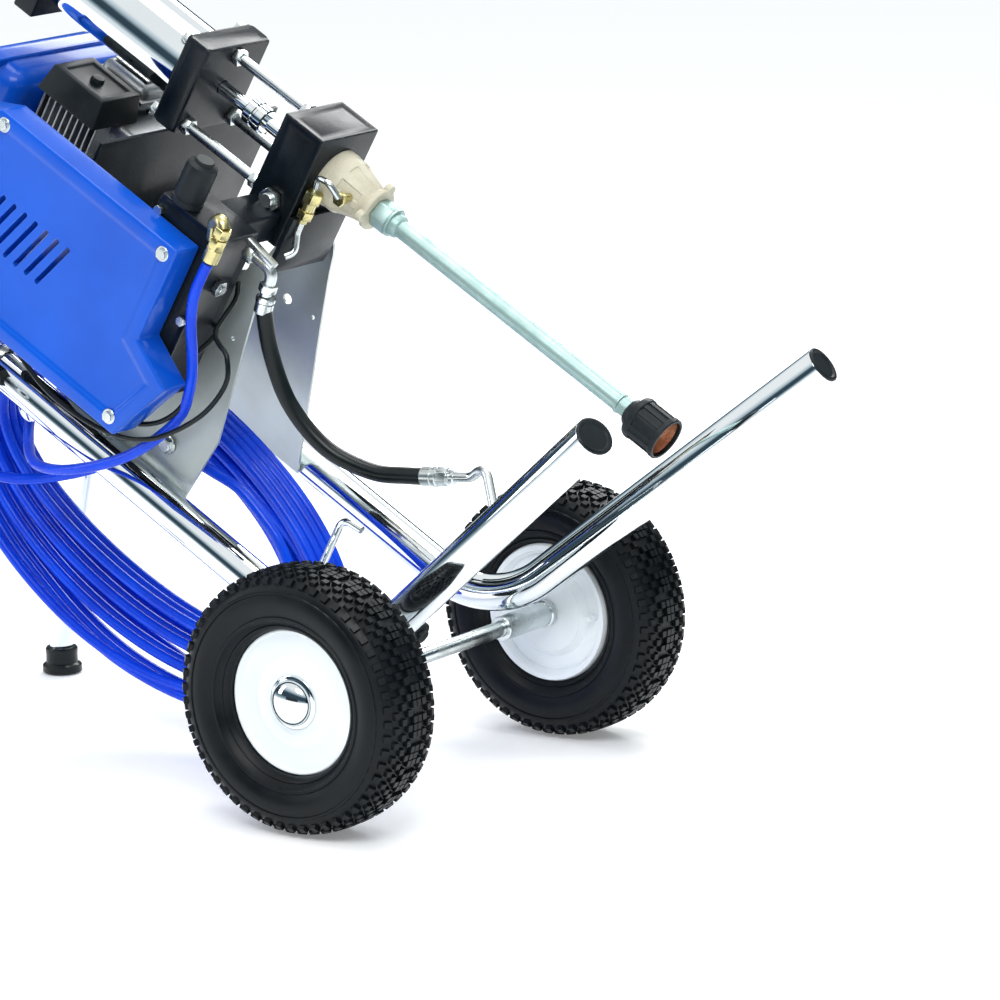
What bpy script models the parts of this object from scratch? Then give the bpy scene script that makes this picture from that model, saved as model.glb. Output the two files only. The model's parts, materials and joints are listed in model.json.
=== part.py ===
"""Two-wheeled airless striping sprayer, laid back on its rear stand.

Metres, +Z up, +X to the front, +Y to the left.

The cart is drawn upright, with X forward, Y left and Z up its rails from the bend of the frame tubes, under
an empty that then lays it back. The wheels, the axle and the stand are drawn where they stand on the floor.
"""

import math

import bmesh
import bpy
from mathutils import Matrix, Vector

# Gaps
GAP = 0.0003            # between pieces that touch
RUN = 0.0005            # between pieces that turn or slide on each other
BITE = 0.004            # how far shapes that are joined reach into each other

# Wheels and axle
TYRE_RADIUS = 0.1295
TYRE_WIDTH = 0.084
WHEEL_OUT = 0.0975      # from a rail's centre line out to the middle of its tyre
AXLE_RADIUS = 0.008
RIM_RADIUS = 0.0705
RIM_OUT = 0.021         # hub disc planes from the tyre's middle
RIM_IN = 0.032
RIM_DISH = 0.008
HUB_CAP_RADIUS = 0.026
SLEEVE_RADIUS = 0.0125
SADDLE_WIDTH = 0.030

# Frame
TUBE_RADIUS = 0.019
TUBE_WALL = 0.003
BEND_RADIUS = 0.10
RAIL_SPACING = 0.236    # between the rails' centre lines
RAIL_LENGTH = 0.62
LEG_LENGTH = 0.440
LEG_DROP = math.radians(21.1)
LEG_SPLAY = math.radians(10.3)
RAIL_SLOPE = math.radians(30.35)
BEND_BACK = 0.019       # the bend's corner lies this far behind the axle
BEND_TURN = math.acos(-math.sin(LEG_DROP) * math.cos(LEG_SPLAY))
CORNER_CUT = BEND_RADIUS * (1 / math.sin(BEND_TURN / 2) - 1)    # the round bend lies this far over its corner
SADDLE_GAP = 0.0002     # between the bends and the axle's sleeves below them
BEND_HEIGHT = TYRE_RADIUS + SLEEVE_RADIUS + SADDLE_GAP + TUBE_RADIUS - CORNER_CUT
TRACK = RAIL_SPACING + 2 * WHEEL_OUT    # between the middles of the tyres
CAP_LENGTH = 0.003
CROSS_RADIUS = 0.0125
CROSS_HEIGHTS = (0.452, 0.585)
CROSS_BACK = 0.0200

# Handle
HANDLE_RADIUS = 0.0145
HANDLE_REACH = 0.25     # how far the handle stands out of the rails
HANDLE_INSIDE = 0.13
HANDLE_BEND = 0.055
GRIP_RADIUS = 0.0185
GRIP_LENGTH = 0.115

# Rear stand
STAND_RADIUS = 0.0125
STAND_HEIGHT_ON_RAIL = 0.545
STAND_RAKE = 0.105      # the feet stand this far behind the stand's top
STAND_SPREAD = 0.030
FOOT_RADIUS = 0.021
FOOT_HEIGHT = 0.028

# Pump stand and fluid section
PLATE = 0.003
STAND_TOP = 0.258       # the top of the plates, forward of the rails
STAND_TOP_HALF = 0.055
HOLE_REACH = 0.12
PUMP_FORWARD = 0.341
BLOCK_LOW = 0.310
BLOCK_HIGH = 0.362
BLOCK_BACK = 0.262
ARM_FRONT = 0.298       # the arm of the block that carries the fluid manifold
ARM_LOW = 0.318
BLOCK_HALF = 0.046
HOUSING_LOW_RADIUS = 0.0215
HOUSING_RADIUS = 0.0300
HOUSING_LOW = 0.248
SIPHON_RADIUS = 0.0092
SIPHON_LOW = -0.086
SIPHON_NUT_RADIUS = 0.0155
STRAINER_RADIUS = 0.0220
STRAINER_LENGTH = 0.048
ROD_RADIUS = 0.007
TIE_RADIUS = 0.0055
TIE_X = 0.042
TIE_Y = 0.036
MOTOR_LOW = 0.465
MOTOR_LENGTH = 0.175
MOTOR_RADIUS = 0.040
MOTOR_HEAD = 0.026
STROKE = 0.044

# Fluid manifold at the near side
MANIFOLD_SIZE = (0.190, 0.058, 0.085)
MANIFOLD_AT = (0.205, -0.135, 0.3395)

# Power unit
DECK_HEIGHT = 0.478
DECK_THICK = 0.004
DECK_FRONT = 0.286
DECK_BACK = 0.034
DECK_HALF = 0.140
ENGINE_SIZE = (0.190, 0.165, 0.150)
ENGINE_AT = (0.150, 0.020)
TANK_SIZE = (0.200, 0.190, 0.070)
TANK_BELOW = (0.130, 0.150, 0.056)
TANK_BELOW_AT = (0.118, 0.030)
MUFFLER_SIZE = (0.036, 0.090, 0.070)
CLEANER_SIZE = (0.030, 0.070, 0.080)
FRONT_BOXES_UP = 0.100
OIL_PUMP_RADIUS = 0.036
OIL_PUMP_LENGTH = 0.085
OIL_PUMP_IN = 0.025     # from the pulleys' inner faces to the pump
BELT_OUT = 0.1790       # the belt's plane from the middle
BELT_FORWARD = 0.165
GUARD_DEPTH = 0.034
GUARD_WALL = 0.0025
PULLEY_LARGE = 0.052
PULLEY_SMALL = 0.030
PULLEY_LOW = 0.432
PULLEY_HIGH = 0.555
BELT_WIDTH = 0.011
BELT_THICK = 0.007
ENGINE_SHAFT = 0.1100    # how far the pulleys' shafts reach inwards, to the engine and to the pump
PUMP_SHAFT = 0.0175

# Hoses
HOSE_RADIUS = 0.0055
DRAIN_HOSE_RADIUS = 0.0082
DRAIN_TUBE_RADIUS = 0.0048
COIL_HALF_LENGTH = 0.235
COIL_HALF_HEIGHT = 0.118
COIL_CENTRE = (-0.088, 0.337)
COIL_HALF_WIDTH = 0.024
SWIVEL_TOP = (0.318, -0.175, 0.296)
SWIVEL_TURN = (0, math.radians(-90), 0)
DRAIN_ROUTE = ((0.2550, -0.117, 0.2560), (0.240, -0.115, 0.252), (0.205, -0.110, 0.228),
               (0.170, -0.102, 0.190), (0.152, -0.092, 0.140), (0.158, -0.082, 0.090),
               (0.176, -0.074, 0.056), (0.193, -0.070, 0.030))
ELBOW_AT = (0.282, -0.117)      # the bent fitting for the drain hose, under the manifold
ELBOW_DROP = 0.036
ELBOW_REACH = 0.026
ELBOW_RADIUS = 0.0062
HOOK_OUT = 0.046
LEAD_ROUTE = ((0.277, -0.175, 0.2965), (0.260, -0.1755, 0.2965), (0.238, -0.1745, 0.2955),
              (0.210, -0.1705, 0.2880), (0.181, -0.1645, 0.2760), (0.148, -0.1580, 0.2670),
              (0.105, -0.1530, 0.2680), (0.040, -0.154, 0.300), (-0.015, -0.156, 0.352),
              (-0.045, -0.142, 0.400), (-0.048, -0.108, 0.440), (-0.036, -0.066, 0.478),
              (-0.014, -0.0315, 0.508))
TAIL_ROUTE = ((-0.034, -0.0315, 0.128), (-0.020, -0.050, 0.126), (0.003, -0.060, 0.140),
              (0.018, -0.061, 0.162), (0.028, -0.062, 0.190), (0.035, -0.063, 0.222),
              (0.033, -0.066, 0.252), (0.028, -0.068, 0.282), (0.008, -0.070, 0.320),
              (-0.032, -0.072, 0.360), (-0.074, -0.080, 0.400), (-0.096, -0.108, 0.432),
              (-0.100, -0.140, 0.465), (-0.104, -0.162, 0.510), (-0.112, -0.170, 0.555),
              (-0.113, -0.167, 0.588), (-0.112, -0.166, 0.604))
GUN_OUT = 0.029         # from a rail's outer side to the gun's middle
GUN_AT = (0.000, -RAIL_SPACING / 2 - TUBE_RADIUS - GUN_OUT, 0.560)
CORDS = ("hose_coil", "hose_lead", "hose_tail")


def clear_scene():
    for old in list(bpy.data.objects):
        bpy.data.objects.remove(old, do_unlink=True)


def material(name, colour, roughness, metallic=0.0):
    made = bpy.data.materials.new(name)
    made.use_nodes = True
    shader = made.node_tree.nodes["Principled BSDF"]
    shader.inputs["Base Color"].default_value = (*colour, 1.0)
    shader.inputs["Roughness"].default_value = roughness
    shader.inputs["Metallic"].default_value = metallic
    return made


def empty(name, location=(0, 0, 0), rotation=(0, 0, 0)):
    made = bpy.data.objects.new(name, None)
    made.location = location
    made.rotation_euler = rotation
    bpy.context.collection.objects.link(made)
    return made


def place(name, data, finish, parent, location=(0, 0, 0), rotation=(0, 0, 0)):
    made = bpy.data.objects.new(name, data)
    if finish:
        data.materials.append(finish)
    made.parent = parent
    made.location = location
    made.rotation_euler = rotation
    bpy.context.collection.objects.link(made)
    return made


def mesh_of(name, bm, smooth=True):
    bmesh.ops.recalc_face_normals(bm, faces=bm.faces)
    data = bpy.data.meshes.new(name)
    bm.to_mesh(data)
    bm.free()
    if smooth:
        data.shade_smooth()
        data.set_sharp_from_angle(angle=math.radians(35))
    return data


def box(name, size, finish, parent, location, rotation=(0, 0, 0), bevel=0.0, segments=1):
    bm = bmesh.new()
    bmesh.ops.create_cube(bm, size=1.0, matrix=Matrix.Diagonal((*size, 1.0)))
    if bevel:
        bmesh.ops.bevel(bm, geom=bm.edges[:], offset=bevel, segments=segments, affect="EDGES", profile=0.5)
    return place(name, mesh_of(name, bm), finish, parent, location, rotation)


def turned(name, profile, finish, parent, location=(0, 0, 0), rotation=(0, 0, 0), steps=24):
    """A profile of (radius, height) points turned round Z.

    It starts and ends on the axis, or closes on itself.
    """
    bm = bmesh.new()
    points = [bm.verts.new((r, 0.0, z)) for r, z in profile]
    closed = profile[0][0] > 0
    pairs = list(zip(points, points[1:]))
    if closed:
        pairs.append((points[-1], points[0]))
    edges = [bm.edges.new(pair) for pair in pairs]
    bmesh.ops.spin(bm, geom=points + edges, axis=(0, 0, 1), cent=(0, 0, 0), angle=math.tau, steps=steps,
                   use_merge=True)
    bmesh.ops.remove_doubles(bm, verts=bm.verts[:], dist=1e-6)
    return place(name, mesh_of(name, bm), finish, parent, location, rotation)


def rod(name, radius, length, finish, parent, location, rotation=(0, 0, 0), steps=20, chamfer=0.0008):
    """A chamfered cylinder that starts at its location and runs up Z."""
    profile = [(0, 0), (radius - chamfer, 0), (radius, chamfer), (radius, length - chamfer),
               (radius - chamfer, length), (0, length)]
    return turned(name, profile, finish, parent, location, rotation, steps)


def ring(name, inner, outer, length, finish, parent, location, rotation=(0, 0, 0), steps=24):
    profile = [(inner, 0), (outer, 0), (outer, length), (inner, length)]
    return turned(name, profile, finish, parent, location, rotation, steps)


def prism(name, outline, depth, finish, parent, location=(0, 0, 0), rotation=(0, 0, 0), smooth=True):
    """An outline in XY pulled up Z."""
    bm = bmesh.new()
    face = bm.faces.new([bm.verts.new((x, y, 0.0)) for x, y in outline])
    pulled = bmesh.ops.extrude_face_region(bm, geom=[face])
    upper = [v for v in pulled["geom"] if isinstance(v, bmesh.types.BMVert)]
    bmesh.ops.translate(bm, vec=(0, 0, depth), verts=upper)
    return place(name, mesh_of(name, bm, smooth), finish, parent, location, rotation)


def path(name, points, radius, finish, parent, location=(0, 0, 0), resolution=3):
    """A round bar or hose through its points."""
    data = bpy.data.curves.new(name, "CURVE")
    data.dimensions = "3D"
    data.bevel_depth = radius
    data.bevel_resolution = resolution
    data.use_fill_caps = True
    line = data.splines.new("POLY")
    line.points.add(len(points) - 1)
    for point, at in zip(line.points, points):
        point.co = (*at, 1.0)
    return place(name, data, finish, parent, location)


def bar(name, points, radius, finish, parent, location=(0, 0, 0), resolution=3):
    """A round bar as a mesh, so that it can be cut."""
    curve = path(name + "_line", points, radius, None, parent, location, resolution)
    bpy.context.view_layer.update()
    graph = bpy.context.evaluated_depsgraph_get()
    bm = bmesh.new()
    bm.from_mesh(bpy.data.meshes.new_from_object(curve.evaluated_get(graph)))
    bmesh.ops.remove_doubles(bm, verts=bm.verts[:], dist=1e-6)
    bpy.data.objects.remove(curve, do_unlink=True)
    return place(name, mesh_of(name, bm), finish, parent, location)


def smooth_line(route, spacing):
    """Points at about this spacing on one smooth curve through the route's points."""
    knots = [Vector(p) for p in route]
    knots = [2 * knots[0] - knots[1], *knots, 2 * knots[-1] - knots[-2]]
    line = []
    for a, b, c, d in zip(knots, knots[1:], knots[2:], knots[3:]):
        count = max(2, round((c - b).length / spacing))
        for i in range(count):
            t = i / count
            line.append(0.5 * (2 * b + (c - a) * t + (2 * a - 5 * b + 4 * c - d) * t * t
                               + (3 * b - a - 3 * c + d) * t ** 3))
    line.append(knots[-2])
    return line


def rounded(corners, radius, steps=6):
    """A line through its corners with each inner corner rounded to the radius."""
    pts = [Vector(c) for c in corners]
    line = [pts[0]]
    for before, corner, after in zip(pts, pts[1:], pts[2:]):
        a = (before - corner).normalized()
        b = (after - corner).normalized()
        half = a.angle(b) / 2
        middle = corner + (a + b).normalized() * (radius / math.sin(half))
        start = corner + a * (radius / math.tan(half))
        end = corner + b * (radius / math.tan(half))
        u = (start - middle).normalized()
        v = (end - middle).normalized()
        sweep = u.angle(v)
        for i in range(steps + 1):
            t = i / steps
            between = (u * math.sin((1 - t) * sweep) + v * math.sin(t * sweep)) / math.sin(sweep)
            line.append(middle + radius * between)
    line.append(pts[-1])
    return line


def cut(target, cutter):
    cutter.hide_render = True
    cutter.display_type = "WIRE"
    step = target.modifiers.new("cut_" + cutter.name, "BOOLEAN")
    step.operation = "DIFFERENCE"
    step.solver = "EXACT"
    step.object = cutter


def join(target, other):
    other.hide_render = True
    other.display_type = "WIRE"
    step = target.modifiers.new("join_" + other.name, "BOOLEAN")
    step.operation = "UNION"
    step.solver = "EXACT"
    step.object = other


ALONG_Y = (-math.pi / 2, 0, 0)     # turns +Z to +Y
ALONG_X = (0, math.pi / 2, 0)      # turns +Z to +X


def finishes():
    return {
        "chrome": material("chrome", (0.80, 0.84, 0.86), 0.08, 1.0),
        "steel": material("bright_steel", (0.62, 0.66, 0.68), 0.25, 1.0),
        "zinc": material("plated_sheet", (0.72, 0.77, 0.78), 0.22, 1.0),
        "white": material("white_enamel", (0.80, 0.83, 0.84), 0.35),
        "tyre": material("tyre_rubber", (0.012, 0.016, 0.020), 0.55),
        "black": material("black_cast", (0.015, 0.018, 0.022), 0.45),
        "plastic": material("black_plastic", (0.012, 0.018, 0.022), 0.40),
        "blue": material("blue_enamel", (0.010, 0.090, 0.560), 0.30),
        "hose": material("blue_hose", (0.005, 0.050, 0.620), 0.35),
        "tan": material("tan_cast", (0.62, 0.58, 0.50), 0.50),
        "brass": material("brass", (0.70, 0.60, 0.28), 0.25, 1.0),
        "engine": material("engine_grey", (0.30, 0.32, 0.33), 0.50, 0.6),
    }


def leg_direction(side):
    return Vector((math.cos(LEG_DROP) * math.cos(LEG_SPLAY), side * math.sin(LEG_SPLAY),
                   -math.sin(LEG_DROP) * math.cos(LEG_SPLAY)))


def make_frame(cart, f):
    """The two bent tubes, their end caps and the cross tubes."""
    for side, name in ((1, "left"), (-1, "right")):
        y = side * RAIL_SPACING / 2
        bend = Vector((0, y, 0))
        tip = bend + leg_direction(side) * LEG_LENGTH
        line = rounded([tip, bend, (0, y, RAIL_LENGTH)], BEND_RADIUS, 8)
        tube = bar("frame_tube_" + name, line, TUBE_RADIUS, f["chrome"], cart, resolution=4)
        depth = HANDLE_INSIDE + 0.06
        bore = rod("rail_bore_" + name, TUBE_RADIUS - TUBE_WALL, depth + BITE, None, cart,
                   (0, y, RAIL_LENGTH - depth), steps=24)
        cut(tube, bore)
        facing = leg_direction(side).to_track_quat("Z", "Y").to_euler()
        profile = [(0, 0), (TUBE_RADIUS, 0), (TUBE_RADIUS, CAP_LENGTH * 0.6),
                   (TUBE_RADIUS * 0.8, CAP_LENGTH), (0, CAP_LENGTH)]
        turned("leg_cap_" + name, profile, f["plastic"], cart, tip + leg_direction(side) * GAP, facing, 24)
    half = RAIL_SPACING / 2 - BITE
    for height, name in zip(CROSS_HEIGHTS, ("lower", "upper")):
        cross = rod("cross_tube_" + name, CROSS_RADIUS, 2 * half, f["chrome"], cart,
                    (-CROSS_BACK, -half, height), ALONG_Y)
        for side in (1, -1):
            cut(cross, rod(f"rail_room_{name}_{side}", TUBE_RADIUS + GAP, 0.08, None, cart,
                           (0, side * RAIL_SPACING / 2, height - 0.04), steps=32))


def make_wheel(side, name, floor, f):
    """Rim, tyre and hub cap round one joint axis. Z is outwards along the axle."""
    out = empty("wheel_axis_" + name, (0, side * TRACK / 2, TYRE_RADIUS), (-side * math.pi / 2, 0, 0))
    out.parent = floor
    inner = AXLE_RADIUS + GAP
    rim = [(inner, -RIM_IN), (0.040, -RIM_IN), (0.046, -RIM_IN + RIM_DISH), (0.060, -RIM_IN + RIM_DISH),
           (0.064, -RIM_IN), (RIM_RADIUS, -RIM_IN), (RIM_RADIUS, RIM_OUT), (0.064, RIM_OUT),
           (0.060, RIM_OUT - 0.004), (0.030, RIM_OUT - 0.004), (0.028, RIM_OUT), (inner, RIM_OUT)]
    turned("rim_" + name, rim, f["white"], out, steps=36)
    r = TYRE_RADIUS
    h = TYRE_WIDTH / 2
    seat = RIM_RADIUS + GAP
    tyre = [(seat, -h * 0.68), (seat + 0.012, -h * 0.90), (r * 0.78, -h), (r * 0.90, -h * 0.93),
            (r * 0.975, -h * 0.74), (r, -h * 0.45), (r, h * 0.45), (r * 0.975, h * 0.74),
            (r * 0.90, h * 0.93), (r * 0.78, h), (seat + 0.012, h * 0.90), (seat, h * 0.68)]
    turned("tyre_" + name, tyre, f["tyre"], out, steps=48)
    cap = [(0, 0), (HUB_CAP_RADIUS, 0), (HUB_CAP_RADIUS, 0.003), (HUB_CAP_RADIUS * 0.88, 0.008),
           (HUB_CAP_RADIUS * 0.6, 0.012), (HUB_CAP_RADIUS * 0.3, 0.014), (0, 0.0145)]
    turned("hub_cap_" + name, cap, f["chrome"], out, (0, 0, RIM_OUT + GAP), steps=24)
    return out


def make_axle(floor, f):
    half = TRACK / 2 + RIM_OUT - 0.003
    rod("axle", AXLE_RADIUS, 2 * half, f["steel"], floor, (0, -half, TYRE_RADIUS), ALONG_Y)
    inside = TRACK / 2 - RIM_IN
    centre = RAIL_SPACING / 2
    for side, name in ((1, "left"), (-1, "right")):
        start = centre - SADDLE_WIDTH / 2
        low = start if side > 0 else -inside + RUN
        ring("axle_sleeve_" + name, AXLE_RADIUS + GAP, SLEEVE_RADIUS, inside - start - RUN, f["steel"], floor,
             (0, low, TYRE_RADIUS), ALONG_Y)


def plate_outline():
    """One pump stand plate, as forward and up."""
    base = -0.006
    return [(base, 0.256), (0.066, 0.2605), (0.160, 0.284), (0.222, 0.2985), (0.248, 0.303),
            (STAND_TOP, 0.313), (0.250, 0.330), (0.214, 0.366), (0.140, 0.392), (base, 0.430)]


def make_pump_stand(cart, f):
    """Two plates on the inner sides of the rails that lean towards each other, drilled for the pump block."""
    base_half = RAIL_SPACING / 2 - TUBE_RADIUS - GAP
    lean = (base_half - STAND_TOP_HALF) / STAND_TOP
    for side, name in ((1, "left"), (-1, "right")):
        bm = bmesh.new()
        rows = []
        for inset in (0.0, PLATE):
            rows.append([bm.verts.new((x, side * (base_half - lean * max(x, 0) - inset), z))
                         for x, z in plate_outline()])
        bm.faces.new(rows[0])
        bm.faces.new(rows[1][::-1])
        for i, start in enumerate(rows[0]):
            after = (i + 1) % len(rows[0])
            bm.faces.new((start, rows[1][i], rows[1][after], rows[0][after]))
        plate = place("pump_stand_" + name, mesh_of("pump_stand_" + name, bm, False), f["zinc"], cart)
        for i, (x, z, r) in enumerate(((0.235, 0.326, 0.0065), (0.161, 0.336, 0.0055))):
            start = 0.015 if side > 0 else -0.015 - HOLE_REACH
            cut(plate, rod(f"hole_{name}_{i}", r, HOLE_REACH, None, cart, (x, start, z), ALONG_Y, 16))


def make_pump(cart, f):
    """The pump block, the lower housing, the moving rod, the tie rods and the hydraulic motor."""
    x = PUMP_FORWARD
    bore = ROD_RADIUS + RUN
    front = x + 0.047
    size = (front - BLOCK_BACK, 2 * BLOCK_HALF, BLOCK_HIGH - BLOCK_LOW)
    half = STAND_TOP_HALF - PLATE - 0.004
    block = box("pump_block", (size[0], 2 * min(BLOCK_HALF, half), size[2]), f["black"], cart,
                ((front + BLOCK_BACK) / 2, 0, (BLOCK_LOW + BLOCK_HIGH) / 2), bevel=0.005)
    outer = MANIFOLD_AT[1] + MANIFOLD_SIZE[1] / 2 + GAP
    inner = BITE - BLOCK_HALF
    arm_size = (ARM_FRONT - BLOCK_BACK - BITE, inner - outer, BLOCK_HIGH - BITE - ARM_LOW)
    arm_at = ((ARM_FRONT + BLOCK_BACK + BITE) / 2, (inner + outer) / 2, (BLOCK_HIGH - BITE + ARM_LOW) / 2)
    join(block, box("block_arm", arm_size, None, cart, arm_at, bevel=0.003))
    rod_low = BLOCK_HIGH - 0.020
    well_low = rod_low - STROKE / 2 - 0.003
    well = rod("block_bore", bore, BLOCK_HIGH - well_low + BITE, None, cart, (x, 0, well_low), steps=16)
    cut(block, well)
    length = BLOCK_LOW - GAP - HOUSING_LOW
    housing = [(0, 0), (HOUSING_LOW_RADIUS, 0), (HOUSING_LOW_RADIUS + 0.001, 0.006),
               (HOUSING_RADIUS, length * 0.62), (HOUSING_RADIUS, length), (0, length)]
    turned("intake_housing", housing, f["tan"], cart, (x, 0, HOUSING_LOW), steps=28)
    length = MOTOR_LOW - BLOCK_HIGH + 0.040
    middle = length / 2 - 0.012
    stem = [(0, 0), (ROD_RADIUS, 0), (ROD_RADIUS, middle), (0.014, middle), (0.014, middle + 0.024),
            (ROD_RADIUS, middle + 0.024), (ROD_RADIUS, length), (0, length)]
    turned("displacement_rod", stem, f["chrome"], cart, (x, 0, rod_low), steps=16)
    reach = MOTOR_LOW - BLOCK_HIGH - 2 * GAP
    for i, (dx, dy) in enumerate(((1, 0), (-1, 1), (-1, -1))):
        rod(f"tie_rod_{i + 1}", TIE_RADIUS, reach, f["steel"], cart,
            (x + dx * (TIE_X - 0.004), dy * TIE_Y, BLOCK_HIGH + GAP), steps=12)
    base = box("motor_base", (0.100, 0.100, 0.030), f["black"], cart, (x, 0, MOTOR_LOW + 0.015), bevel=0.004)
    cut(base, rod("base_bore", bore, 0.05, None, cart, (x, 0, MOTOR_LOW - 0.01), steps=16))
    low = MOTOR_LOW + 0.030 + GAP
    body = rod("motor_cylinder", MOTOR_RADIUS, MOTOR_LENGTH, f["chrome"], cart, (x, 0, low), steps=32)
    cut(body, rod("cylinder_bore", ROD_RADIUS + 0.004, 0.11, None, cart, (x, 0, low - 0.01), steps=16))
    box("motor_head", (0.096, 0.096, MOTOR_HEAD), f["black"], cart,
        (x, 0, low + MOTOR_LENGTH + GAP + MOTOR_HEAD / 2), bevel=0.006)


def make_siphon(cart, f):
    """The suction tube, its nut and its strainer, which swivel together under the intake housing."""
    axis = empty("siphon_axis", (PUMP_FORWARD, 0, HOUSING_LOW))
    axis.parent = cart
    length = HOUSING_LOW - SIPHON_LOW - GAP
    nut = 0.022
    r = SIPHON_RADIUS
    tube = [(0, 0), (r, 0), (r, length - nut), (SIPHON_NUT_RADIUS - 0.003, length - nut),
            (SIPHON_NUT_RADIUS, length - nut + 0.002), (SIPHON_NUT_RADIUS, length), (0, length)]
    turned("siphon_tube", tube, f["chrome"], axis, (0, 0, -GAP - length), steps=20)
    r = STRAINER_RADIUS
    n = STRAINER_LENGTH
    basket = [(0, 0), (r * 0.75, 0), (r * 0.96, -n * 0.12), (r, -n * 0.3), (r, -n), (r * 0.86, -n),
              (r * 0.86, -n * 0.45), (0, -n * 0.45)]
    turned("strainer", basket[::-1], f["black"], axis, (0, 0, SIPHON_LOW - HOUSING_LOW - GAP), steps=24)


def make_manifold(cart, f):
    """The fluid manifold beside the near plate, with its filter bowl and its two outlets."""
    x, y, z = MANIFOLD_AT
    length, width, height = MANIFOLD_SIZE
    box("fluid_manifold", MANIFOLD_SIZE, f["black"], cart, MANIFOLD_AT, bevel=0.004)
    low = z - height / 2
    top = x + length / 2
    rod("filter_bowl", 0.016, 0.050, f["black"], cart, (top + GAP, y - 0.016, z + 0.020), ALONG_X, 24, 0.004)
    # Outlet to the spray hose: a brass swivel that hangs under the manifold's near corner
    rod("hose_swivel", 0.0085, 0.040, f["brass"], cart, SWIVEL_TOP, SWIVEL_TURN, 12, 0.001)
    # Outlet to the drain hose: a bent fitting under the manifold's front
    outlet, side = ELBOW_AT
    elbow = rounded([(outlet, side, low - GAP), (outlet, side, low - ELBOW_DROP),
                     (outlet - ELBOW_REACH, side, low - ELBOW_DROP - BITE)], 0.011, 4)
    path("drain_elbow", elbow, ELBOW_RADIUS, f["zinc"], cart)


def make_drain(cart, f):
    """The drain hose from the bent fitting to a bent steel tube that a clip holds beside the near leg."""
    line = smooth_line(DRAIN_ROUTE, 0.016)
    path("drain_hose", line, DRAIN_HOSE_RADIUS, f["plastic"], cart)
    end = line[-1]
    way = (line[-1] - line[-2]).normalized()
    turn = way.to_track_quat("Z", "Y").to_euler()
    start = end + way * GAP
    nut = rod("drain_nut", 0.0088, 0.017, None, cart, start, turn, 6, 0.0006)
    first = start + way * (0.017 - BITE)
    corners = [first, first + way * 0.024, (0.236, -0.070, -0.010), (0.212, -0.088, -0.050)]
    tube = bar("drain_tube", rounded(corners, 0.014, 4), DRAIN_TUBE_RADIUS, f["steel"], cart)
    join(tube, nut)


def make_belt_drive(cart, f):
    """Two pulleys and their belt beside the engine, inside the blue guard."""
    x = BELT_FORWARD
    inside = BELT_OUT - BELT_WIDTH / 2
    pulleys = (("engine_pulley", PULLEY_SMALL, PULLEY_HIGH, 0.009, ENGINE_SHAFT),
               ("pump_pulley", PULLEY_LARGE, PULLEY_LOW, 0.008, PUMP_SHAFT))
    for name, radius, height, shaft, reach in pulleys:
        axis = empty(name + "_axis", (x, -inside, height), (math.pi / 2, 0, 0))
        axis.parent = cart
        wheel = [(0, -reach), (shaft, -reach), (shaft, 0), (radius, 0), (radius, BELT_WIDTH),
                 (shaft, BELT_WIDTH), (shaft, BELT_WIDTH + 0.004), (0, BELT_WIDTH + 0.004)]
        turned(name, wheel, f["engine"], axis, steps=28)
    span = PULLEY_HIGH - PULLEY_LOW
    loop = belt_loop(PULLEY_SMALL + 3 * GAP, PULLEY_LARGE + 3 * GAP, span, BELT_THICK, BELT_WIDTH)
    place("drive_belt", loop, f["plastic"], cart, (x, -inside, PULLEY_LOW), (math.pi / 2, 0, 0))


def belt_line(small, large, span, steps=14):
    """The outline of a belt round two wheels, the large one at the origin and the small one up Y."""
    tilt = math.asin((large - small) / span)
    line = []
    for i in range(steps + 1):
        a = math.pi - tilt + i * (math.pi + 2 * tilt) / steps
        line.append((large * math.cos(a), large * math.sin(a)))
    for i in range(steps + 1):
        a = tilt + i * (math.pi - 2 * tilt) / steps
        line.append((small * math.cos(a), span + small * math.sin(a)))
    return line


def belt_loop(small, large, span, thick, width):
    inner = belt_line(small, large, span)
    outer = belt_line(small + thick, large + thick, span)
    bm = bmesh.new()
    rings = [[bm.verts.new((x, y, z)) for x, y in line] for line, z in
             ((inner, 0), (outer, 0), (outer, width), (inner, width))]
    count = len(inner)
    for a, b in zip(rings, rings[1:] + rings[:1]):
        for i in range(count):
            j = (i + 1) % count
            bm.faces.new((a[i], a[j], b[j], b[i]))
    return mesh_of("drive_belt", bm)


def guard_outline(inset):
    """The belt guard's side, as forward and up."""
    i = inset
    return [(0.280 - i, 0.318 + i), (0.280 - i, 0.560 - i), (0.254 - i, 0.612 - i), (0.120 + i, 0.628 - i),
            (0.075 + i, 0.590 - i), (0.075 + i, 0.300 + i), (0.152, 0.268 + i), (0.176, 0.318 + i)]


def make_guard(cart, f):
    """The blue guard: a shell that opens towards the engine."""
    outside = BELT_OUT + GUARD_DEPTH / 2 + 0.004
    back = (0, -outside + GUARD_DEPTH, 0)
    turn = (math.pi / 2, 0, 0)
    shell = prism("belt_guard", guard_outline(0), GUARD_DEPTH, f["blue"], cart, back, turn, False)
    soft = shell.modifiers.new("edge", "BEVEL")
    soft.width = 0.004
    soft.segments = 2
    soft.limit_method = "ANGLE"
    inner = prism("guard_hollow", guard_outline(GUARD_WALL), GUARD_DEPTH, None, cart,
                  (0, -outside + GUARD_DEPTH + GUARD_WALL, 0), (math.pi / 2, 0, 0), False)
    cut(shell, inner)


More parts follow.
